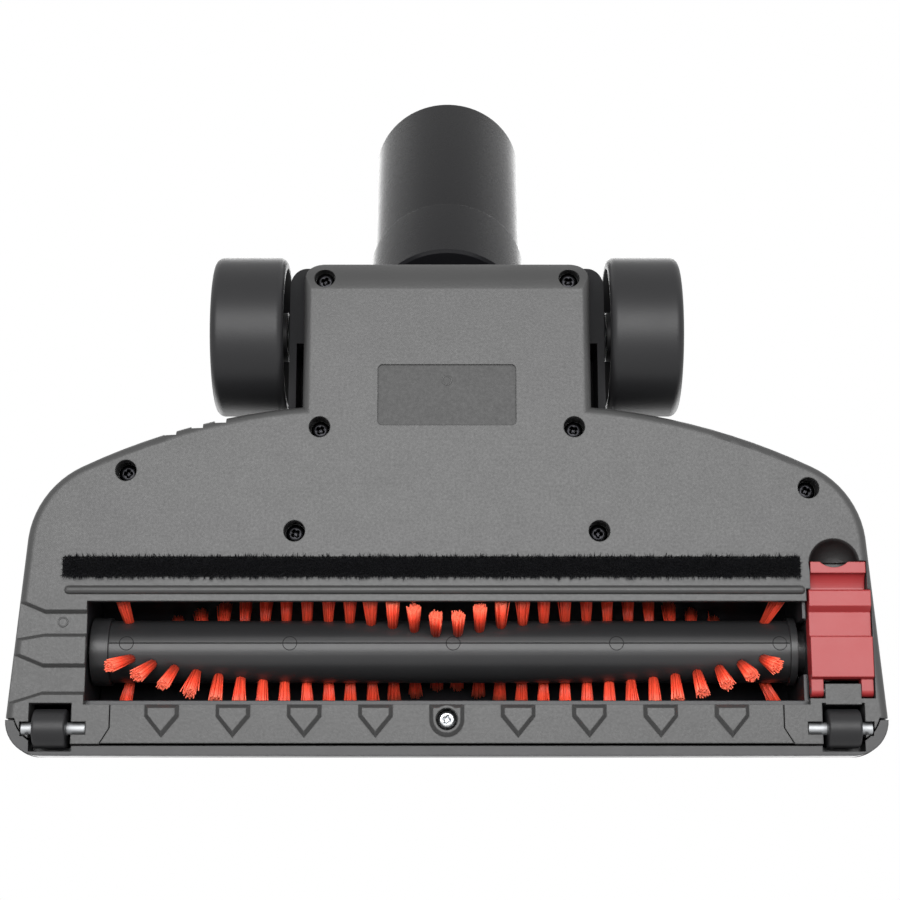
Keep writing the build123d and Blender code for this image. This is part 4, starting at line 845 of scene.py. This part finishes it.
class FLOORHEAD_OT_mohair(bpy.types.Operator):
    """Build the mohair strip as a bed of fibres"""

    bl_idname = "floorhead.mohair"
    bl_label = "Make the mohair strip"

    def execute(self, context):
        sizes = context.scene.floorhead_pile
        low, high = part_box("mohair_strip")
        draw = random.Random(11)
        points = []
        faces = []
        along = []
        bed = low.z + BED_SHARE * sizes.fibre_h
        self.add_bed(points, faces, along, low, high, bed)
        middle = (low.y + high.y) / 2
        half = (high.y - low.y) / 2
        for _ in range(sizes.fibres):
            x = draw.uniform(low.x + PILE_END_GAP, high.x - PILE_END_GAP)
            side = draw.uniform(-1, 1)
            lean = PILE_LEAN_BACK if side > 0 else PILE_LEAN_FRONT
            lean_y = (lean + PILE_CLUMPING * self.clump(x)) * side**3 + draw.gauss(0, PILE_STRAY[1])
            end_in = min(x - low.x, high.x - x) / half
            end_lean = math.copysign(PILE_LEAN_END, x) * max(0, 1 - end_in) ** 2
            lean_x = draw.gauss(0, PILE_STRAY[0]) + end_lean
            way = Vector((lean_x, lean_y, -1)).normalized()
            tall = sizes.fibre_h * draw.uniform(*FIBRE_LENGTHS) * (1 + PILE_EDGE_MORE * side**4)
            foot = Vector((x, middle + half * side * PILE_FEET, bed + PILE_FOOT_IN))
            tip = foot + way * tall
            bend = foot.lerp(tip, 0.5) + Vector((draw.gauss(0, FIBRE_KINK), draw.gauss(0, FIBRE_KINK), 0))
            radii = [sizes.fibre_r * taper for taper in FIBRE_TAPER]
            add_strand(points, faces, along, (foot, bend, tip), radii, sides=3)
        mesh = mesh_of("mohair_pile", points, faces, along)
        colour = context.scene.floorhead_colours.pile
        piece = new_piece("mohair_pile", mesh, pile_cloth(colour), "base")
        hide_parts("mohair_strip")
        return {"FINISHED"}

    @staticmethod
    def clump(x):
        """How far the fibres bunch outward at one place along the strip, as uneven waves."""
        return math.sin(x * 1900) * math.sin(x * 740 + 2.0) + math.sin(x * 4300 + 0.7)

    @staticmethod
    def add_bed(points, faces, along, low, high, bed):
        """Closed base of the pile, from its groove to the feet of the fibres."""
        near, far = low.y + BED_IN, high.y - BED_IN
        left, right = low.x + BED_IN, high.x - BED_IN
        corners = [(left, near), (right, near), (right, far), (left, far)]
        points += [Vector((x, y, high.z)) for x, y in corners]
        points += [Vector((x, y, bed)) for x, y in corners]
        along += [0.0] * 8
        faces.append((0, 1, 2, 3))
        faces.append((7, 6, 5, 4))
        add_band(faces, 4, 0, 4)


class FLOORHEAD_OT_screws(bpy.types.Operator):
    """Build the screws with round heads and cross recesses"""

    bl_idname = "floorhead.screws"
    bl_label = "Make the screws"

    def execute(self, context):
        colours = context.scene.floorhead_colours
        dark = metal("black screw steel", colours.dark_screw, 0.3, lines=200.0)
        bright = metal("bright screw steel", scaled(colours.steel, 1.3)[:3], 0.16, lines=200.0)
        draw = random.Random(3)
        wells = [(spot(x, back, SCREW_FACE_Z), draw.uniform(0, 90)) for x, back in SCREW_PLACES]
        self.make("housing_screw_heads", wells, dark, "black_steel", "housing_screws", SCREW_LENGTH)
        lip = [(spot(0, LIP_SCREW_BACK, LIP_SCREW_FACE_Z), LIP_SCREW_TURN)]
        self.make("lip_screw_head", lip, bright, "zinc", "lip_screw", LIP_SCREW_LENGTH)
        return {"FINISHED"}

    def make(self, name, seats, material, slot, node_name, end):
        """One piece of like screws that replaces a node."""
        screw = self.one_screw(end)
        whole = bmesh.new()
        for place, turn in seats:
            start = len(whole.verts)
            whole.from_mesh(screw)
            whole.verts.ensure_lookup_table()
            moved = Matrix.Translation(place) @ Matrix.Rotation(math.radians(turn), 4, "Z")
            bmesh.ops.transform(whole, matrix=moved, verts=whole.verts[start:])
        mesh = bpy.data.meshes.new(name)
        whole.to_mesh(mesh)
        whole.free()
        bpy.data.meshes.remove(screw)
        piece = new_piece(name, mesh, material, "base")
        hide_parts(node_name)

    def one_screw(self, end):
        """Pan head with a cross recess, facing down at the origin, and its shank."""
        body = self.add_object("screw_body", self.turned_screw(end))
        cutters = []
        for turn in (0, 90):
            tool = self.add_object("screw_cut", self.cross_blade(turn))
            cut = body.modifiers.new("cross", "BOOLEAN")
            cut.operation = "DIFFERENCE"
            cut.solver = "EXACT"
            cut.object = tool
            cutters.append(tool)
        graph = bpy.context.evaluated_depsgraph_get()
        made = bpy.data.meshes.new_from_object(body.evaluated_get(graph))
        for item in cutters + [body]:
            bpy.data.objects.remove(item)
        return made

    @staticmethod
    def add_object(name, mesh):
        """Put a mesh in the scene as an object."""
        made = bpy.data.objects.new(name, mesh)
        bpy.context.scene.collection.objects.link(made)
        return made

    @staticmethod
    def turned_screw(end, steps=40):
        """Screw without its recess, turned from a profile of radius and height."""
        crown = [(0.0, 0.0), (1.5, 0.02), (2.2, 0.18), (2.62, 0.55), (SCREW_R, 1.1)]
        step_in = [(SCREW_R, SCREW_HEAD_H), (SHANK_R, SCREW_HEAD_H)]
        shank_end = [(SHANK_R, end - SHANK_TAPER), (SHANK_TIP_R, end), (0.0, end)]
        profile = crown + step_in + shank_end
        points = []
        starts = []
        for radius, z in profile:
            starts.append(len(points))
            for step in range(steps if radius else 1):
                turn = math.tau * step / steps
                points.append(Vector((radius * math.cos(turn), radius * math.sin(turn), z)) * MM)
        pairs = [(step, (step + 1) % steps) for step in range(steps)]
        faces = [(starts[0], starts[1] + other, starts[1] + step) for step, other in pairs]
        for here, there in zip(starts[1:-2], starts[2:-1]):
            add_band(faces, here, there, steps)
        faces += [(starts[-2] + step, starts[-2] + other, starts[-1]) for step, other in pairs]
        return mesh_of("screw_body", points, faces)

    @staticmethod
    def cross_blade(turn):
        """One tapered blade of the cross recess."""
        blade = bmesh.new()
        bmesh.ops.create_cube(blade, size=1.0)
        for vert in blade.verts:
            deep = vert.co.z > 0
            vert.co.x *= CROSS_LENGTH[deep] * MM
            vert.co.y *= CROSS_WIDTH[deep] * MM
            vert.co.z = (CROSS_DEPTH if deep else CROSS_ABOVE) * MM
        bmesh.ops.rotate(blade, matrix=Matrix.Rotation(math.radians(turn), 3, "Z"), verts=blade.verts)
        mesh = bpy.data.meshes.new("screw_cut")
        blade.to_mesh(mesh)
        blade.free()
        return mesh


class FLOORHEAD_OT_latch(bpy.types.Operator):
    """Finish the red end latch and its pin"""

    bl_idname = "floorhead.latch"
    bl_label = "Finish the latch"

    def execute(self, context):
        colours = context.scene.floorhead_colours
        red = plastic("red latch plastic", colours.latch, 0.42, mottle=0.06, scuff_highlight_gain=1.2, scuff_highlight_tone=1.5)
        dress(red, "latch")
        # Keeps the latch from casting a red glow on the floor
        NODES["latch"].visible_diffuse = False
        new_piece("latch_cove", self.cove(), red, "end_latch")
        dress(turned_steel(colours), "latch_pin")
        return {"FINISHED"}

    @staticmethod
    def cove(levels=10):
        """Hollow ramp from the floor of the finger groove up to the ridge of the tab."""
        profile = []
        for level in range(levels + 1):
            turn = math.pi / 2 * level / levels
            back = COVE_FRONT + (COVE_BACK - COVE_FRONT) * math.sin(turn)
            profile.append((back, COVE_DEEP_Z - (COVE_DEEP_Z - COVE_RIM_Z) * (1 - math.cos(turn))))
        profile += [(COVE_BACK, COVE_DEEP_Z + SEAT), (COVE_FRONT, COVE_DEEP_Z + SEAT)]
        count = len(profile)
        points = [spot(x, back, z) for x in COVE_SIDES for back, z in profile]
        faces = [tuple(range(count)), tuple(range(2 * count - 1, count - 1, -1))]
        add_band(faces, count, 0, count)
        return mesh_of("latch_cove", points, faces, smooth=False)


class FLOORHEAD_OT_wheels(bpy.types.Operator):
    """Finish the wheels, the front rollers, and their axles and pins"""

    bl_idname = "floorhead.wheels"
    bl_label = "Finish the wheels"

    def execute(self, context):
        colours = context.scene.floorhead_colours
        black = plastic(
            "black wheel plastic", colours.wheel, 0.42, grain=1800.0, height=0.00003, scuff_highlight_tone=1.6, shine=0.3
        )
        dress(black, "wheel_left", "wheel_right", "front_roller_left", "front_roller_right")
        dress(turned_steel(colours), "wheel_axle_left", "wheel_axle_right")
        satin = metal("satin pin steel", colours.steel, 0.55)
        dress(satin, "roller_pin_left", "roller_pin_right")
        return {"FINISHED"}


class FLOORHEAD_OT_neck(bpy.types.Operator):
    """Finish the neck and its socket"""

    bl_idname = "floorhead.neck"
    bl_label = "Finish the neck"

    def execute(self, context):
        colours = context.scene.floorhead_colours
        # The neck's edges are lightened strongly, mostly as a painted highlight along the collar, besides
        # scuffing
        black = plastic(
            "black neck plastic", colours.neck, 0.26,
            grain=3200.0, height=0.000012, scuff_highlight_gain=3.0, scuff_highlight_tone=9.0, shine=0.06,
        )
        dress(black, "neck_tube", "neck_barrel")
        dress(turned_steel(colours), "wand_socket", "swivel_clip")
        return {"FINISHED"}


class FLOORHEAD_OT_stage(bpy.types.Operator):
    """Set the floor, the lamps, the white surround and the camera"""

    bl_idname = "floorhead.stage"
    bl_label = "Set the stage"

    def execute(self, context):
        scene = context.scene
        settings = scene.floorhead_stage
        scene.view_settings.view_transform = "Standard"
        self.set_camera(scene, settings)
        self.set_floor(scene, settings.floor_half)
        self.set_world(scene, settings.fill)
        wide, deep = LOWER_LAMP_SIZE
        key = self.add_lamp(scene, "lower lamp", LOWER_LAMP, wide, settings.key_power, True)
        key.shape = "RECTANGLE"
        key.size_y = deep
        for side in (-1, 1):
            aside = (side * SIDE_LAMP[0], *SIDE_LAMP[1:])
            self.add_lamp(scene, "side lamp", aside, SIDE_LAMP_SIZE, settings.side_power)
            above = (side * TOP_LAMP[0], *TOP_LAMP[1:])
            self.add_lamp(scene, "top lamp", above, TOP_LAMP_SIZE, settings.top_power, True)
        self.add_lamp(scene, "back lamp", BACK_LAMP, TOP_LAMP_SIZE, settings.top_power, True)
        return {"FINISHED"}

    @staticmethod
    def set_camera(scene, settings):
        """Camera below the sole, looking up and back."""
        data = bpy.data.cameras.new("photo view")
        data.lens = settings.lens
        data.sensor_width = SENSOR_WIDTH
        camera = bpy.data.objects.new("photo view", data)
        scene.collection.objects.link(camera)
        rise, run = math.sin(settings.tilt), math.cos(settings.tilt)
        right = Vector((-1, 0, 0))
        up = Vector((0, run, -rise))
        toward = Vector((0, -rise, -run))
        turn = Matrix((right, up, toward)).transposed().to_4x4()
        camera.matrix_world = Matrix.Translation(CAMERA_PLACE) @ turn
        scene.camera = camera

    @staticmethod
    def set_floor(scene, half):
        """Pale floor that is only there for a view from above, and fades out with distance."""
        corners = [(-half, -half, 0), (half, -half, 0), (half, half, 0), (-half, half, 0)]
        mesh = mesh_of("floor", corners, [(0, 1, 2, 3)], smooth=False)
        floor = bpy.data.objects.new("floor", mesh)
        scene.collection.objects.link(floor)
        floor.location.z = FLOOR_Z
        material, tree, shader = start_material("pale floor", {"Base Color": FLOOR_TONE, "Roughness": 0.8})
        ray = node(tree, "ShaderNodeLightPath", (100, 300))
        face = node(tree, "ShaderNodeNewGeometry", (100, 600))
        front = node(tree, "ShaderNodeMath", (350, 500), {0: 1.0}, operation="SUBTRACT")
        seen = node(tree, "ShaderNodeMath", (550, 400), operation="MULTIPLY")
        place = node(tree, "ShaderNodeTexCoord", (-300, 800))
        far = node(tree, "ShaderNodeVectorMath", (-100, 800), operation="LENGTH")
        fade = spread(tree, (100, 800), 1.0, 0.0)
        fade.interpolation_type = "SMOOTHSTEP"
        fade.inputs["From Min"].default_value, fade.inputs["From Max"].default_value = FLOOR_FADE
        near = node(tree, "ShaderNodeMath", (650, 600), operation="MULTIPLY")
        clear = node(tree, "ShaderNodeBsdfTransparent", (550, 250))
        mix = node(tree, "ShaderNodeMixShader", (750, 200))
        link = tree.links.new
        link(face.outputs["Backfacing"], front.inputs[1])
        link(front.outputs[0], seen.inputs[0])
        link(ray.outputs["Is Camera Ray"], seen.inputs[1])
        link(place.outputs["Object"], far.inputs[0])
        link(far.outputs["Value"], fade.inputs["Value"])
        link(seen.outputs[0], near.inputs[0])
        link(fade.outputs["Result"], near.inputs[1])
        link(near.outputs[0], mix.inputs["Fac"])
        link(clear.outputs["BSDF"], mix.inputs[1])
        link(shader.outputs["BSDF"], mix.inputs[2])
        link(mix.outputs["Shader"], tree.nodes["Material Output"].inputs["Surface"])
        mesh.materials.append(material)

    @staticmethod
    def set_world(scene, fill):
        """White to the camera and in reflections, softer as a fill light."""
        world = bpy.data.worlds.new("white surround")
        scene.world = world
        world.use_nodes = True
        tree = world.node_tree
        tree.nodes.clear()
        out = node(tree, "ShaderNodeOutputWorld", (600, 0))
        white = node(tree, "ShaderNodeBackground", (100, 100), {"Color": WHITE})
        soft = node(tree, "ShaderNodeBackground", (100, -100), {"Color": WHITE, "Strength": fill})
        ray = node(tree, "ShaderNodeLightPath", (-300, 300))
        seen = node(tree, "ShaderNodeMath", (-100, 300), operation="MAXIMUM")
        mirrored = node(tree, "ShaderNodeMath", (100, 300), operation="MAXIMUM")
        mix = node(tree, "ShaderNodeMixShader", (400, 0))
        link = tree.links.new
        link(ray.outputs["Is Camera Ray"], seen.inputs[0])
        link(ray.outputs["Is Glossy Ray"], seen.inputs[1])
        link(seen.outputs[0], mirrored.inputs[0])
        link(ray.outputs["Is Transmission Ray"], mirrored.inputs[1])
        link(mirrored.outputs[0], mix.inputs["Fac"])
        link(soft.outputs["Background"], mix.inputs[1])
        link(white.outputs["Background"], mix.inputs[2])
        link(mix.outputs["Shader"], out.inputs["Surface"])

    @staticmethod
    def add_lamp(scene, name, place, size, watts, mirrored=False):
        """Square soft lamp that faces the head, seen in reflections only where asked."""
        data = bpy.data.lights.new(name, "AREA")
        data.size = size
        data.energy = watts
        lamp = bpy.data.objects.new(name, data)
        scene.collection.objects.link(lamp)
        lamp.location = place
        lamp.rotation_euler = (LAMP_TARGET - Vector(place)).to_track_quat("-Z", "Y").to_euler()
        lamp.visible_camera = False
        lamp.visible_glossy = mirrored
        return data


class FLOORHEAD_PT_panel(bpy.types.Panel):
    """List of the steps that dress the floor head"""

    bl_idname = "FLOORHEAD_PT_panel"
    bl_label = "Floor Head"
    bl_space_type = "VIEW_3D"
    bl_region_type = "UI"
    bl_category = "Floor Head"

    def draw(self, context):
        layout = self.layout
        for step in STEPS:
            layout.operator(step.bl_idname)
        for group in GROUPS:
            settings = getattr(context.scene, group)
            for name in settings.__annotations__:
                layout.prop(settings, name)


GROUPS = {
    "floorhead_colours": FLOORHEAD_PG_colours,
    "floorhead_bristles": FLOORHEAD_PG_bristles,
    "floorhead_pile": FLOORHEAD_PG_pile,
    "floorhead_stage": FLOORHEAD_PG_stage,
}
STEPS = (
    FLOORHEAD_OT_housing,
    FLOORHEAD_OT_inside,
    FLOORHEAD_OT_roll,
    FLOORHEAD_OT_tufts,
    FLOORHEAD_OT_mohair,
    FLOORHEAD_OT_screws,
    FLOORHEAD_OT_latch,
    FLOORHEAD_OT_wheels,
    FLOORHEAD_OT_neck,
    FLOORHEAD_OT_stage,
)


def register():
    """Register the classes and hang the settings on the scene."""
    for item in (*GROUPS.values(), *STEPS, FLOORHEAD_PT_panel):
        bpy.utils.register_class(item)
    for name, group in GROUPS.items():
        setattr(bpy.types.Scene, name, PointerProperty(type=group))


def unregister():
    """Take the settings off the scene and unregister the classes."""
    for name in GROUPS:
        delattr(bpy.types.Scene, name)
    for item in (FLOORHEAD_PT_panel, *reversed(STEPS), *reversed(GROUPS.values())):
        bpy.utils.unregister_class(item)


def main():
    """Dress the head."""
    register()
    bpy.ops.floorhead.housing()
    bpy.ops.floorhead.inside()
    bpy.ops.floorhead.roll()
    bpy.ops.floorhead.tufts()
    bpy.ops.floorhead.mohair()
    bpy.ops.floorhead.screws()
    bpy.ops.floorhead.latch()
    bpy.ops.floorhead.wheels()
    bpy.ops.floorhead.neck()
    bpy.ops.floorhead.stage()


if __name__ == "__main__":
    main()
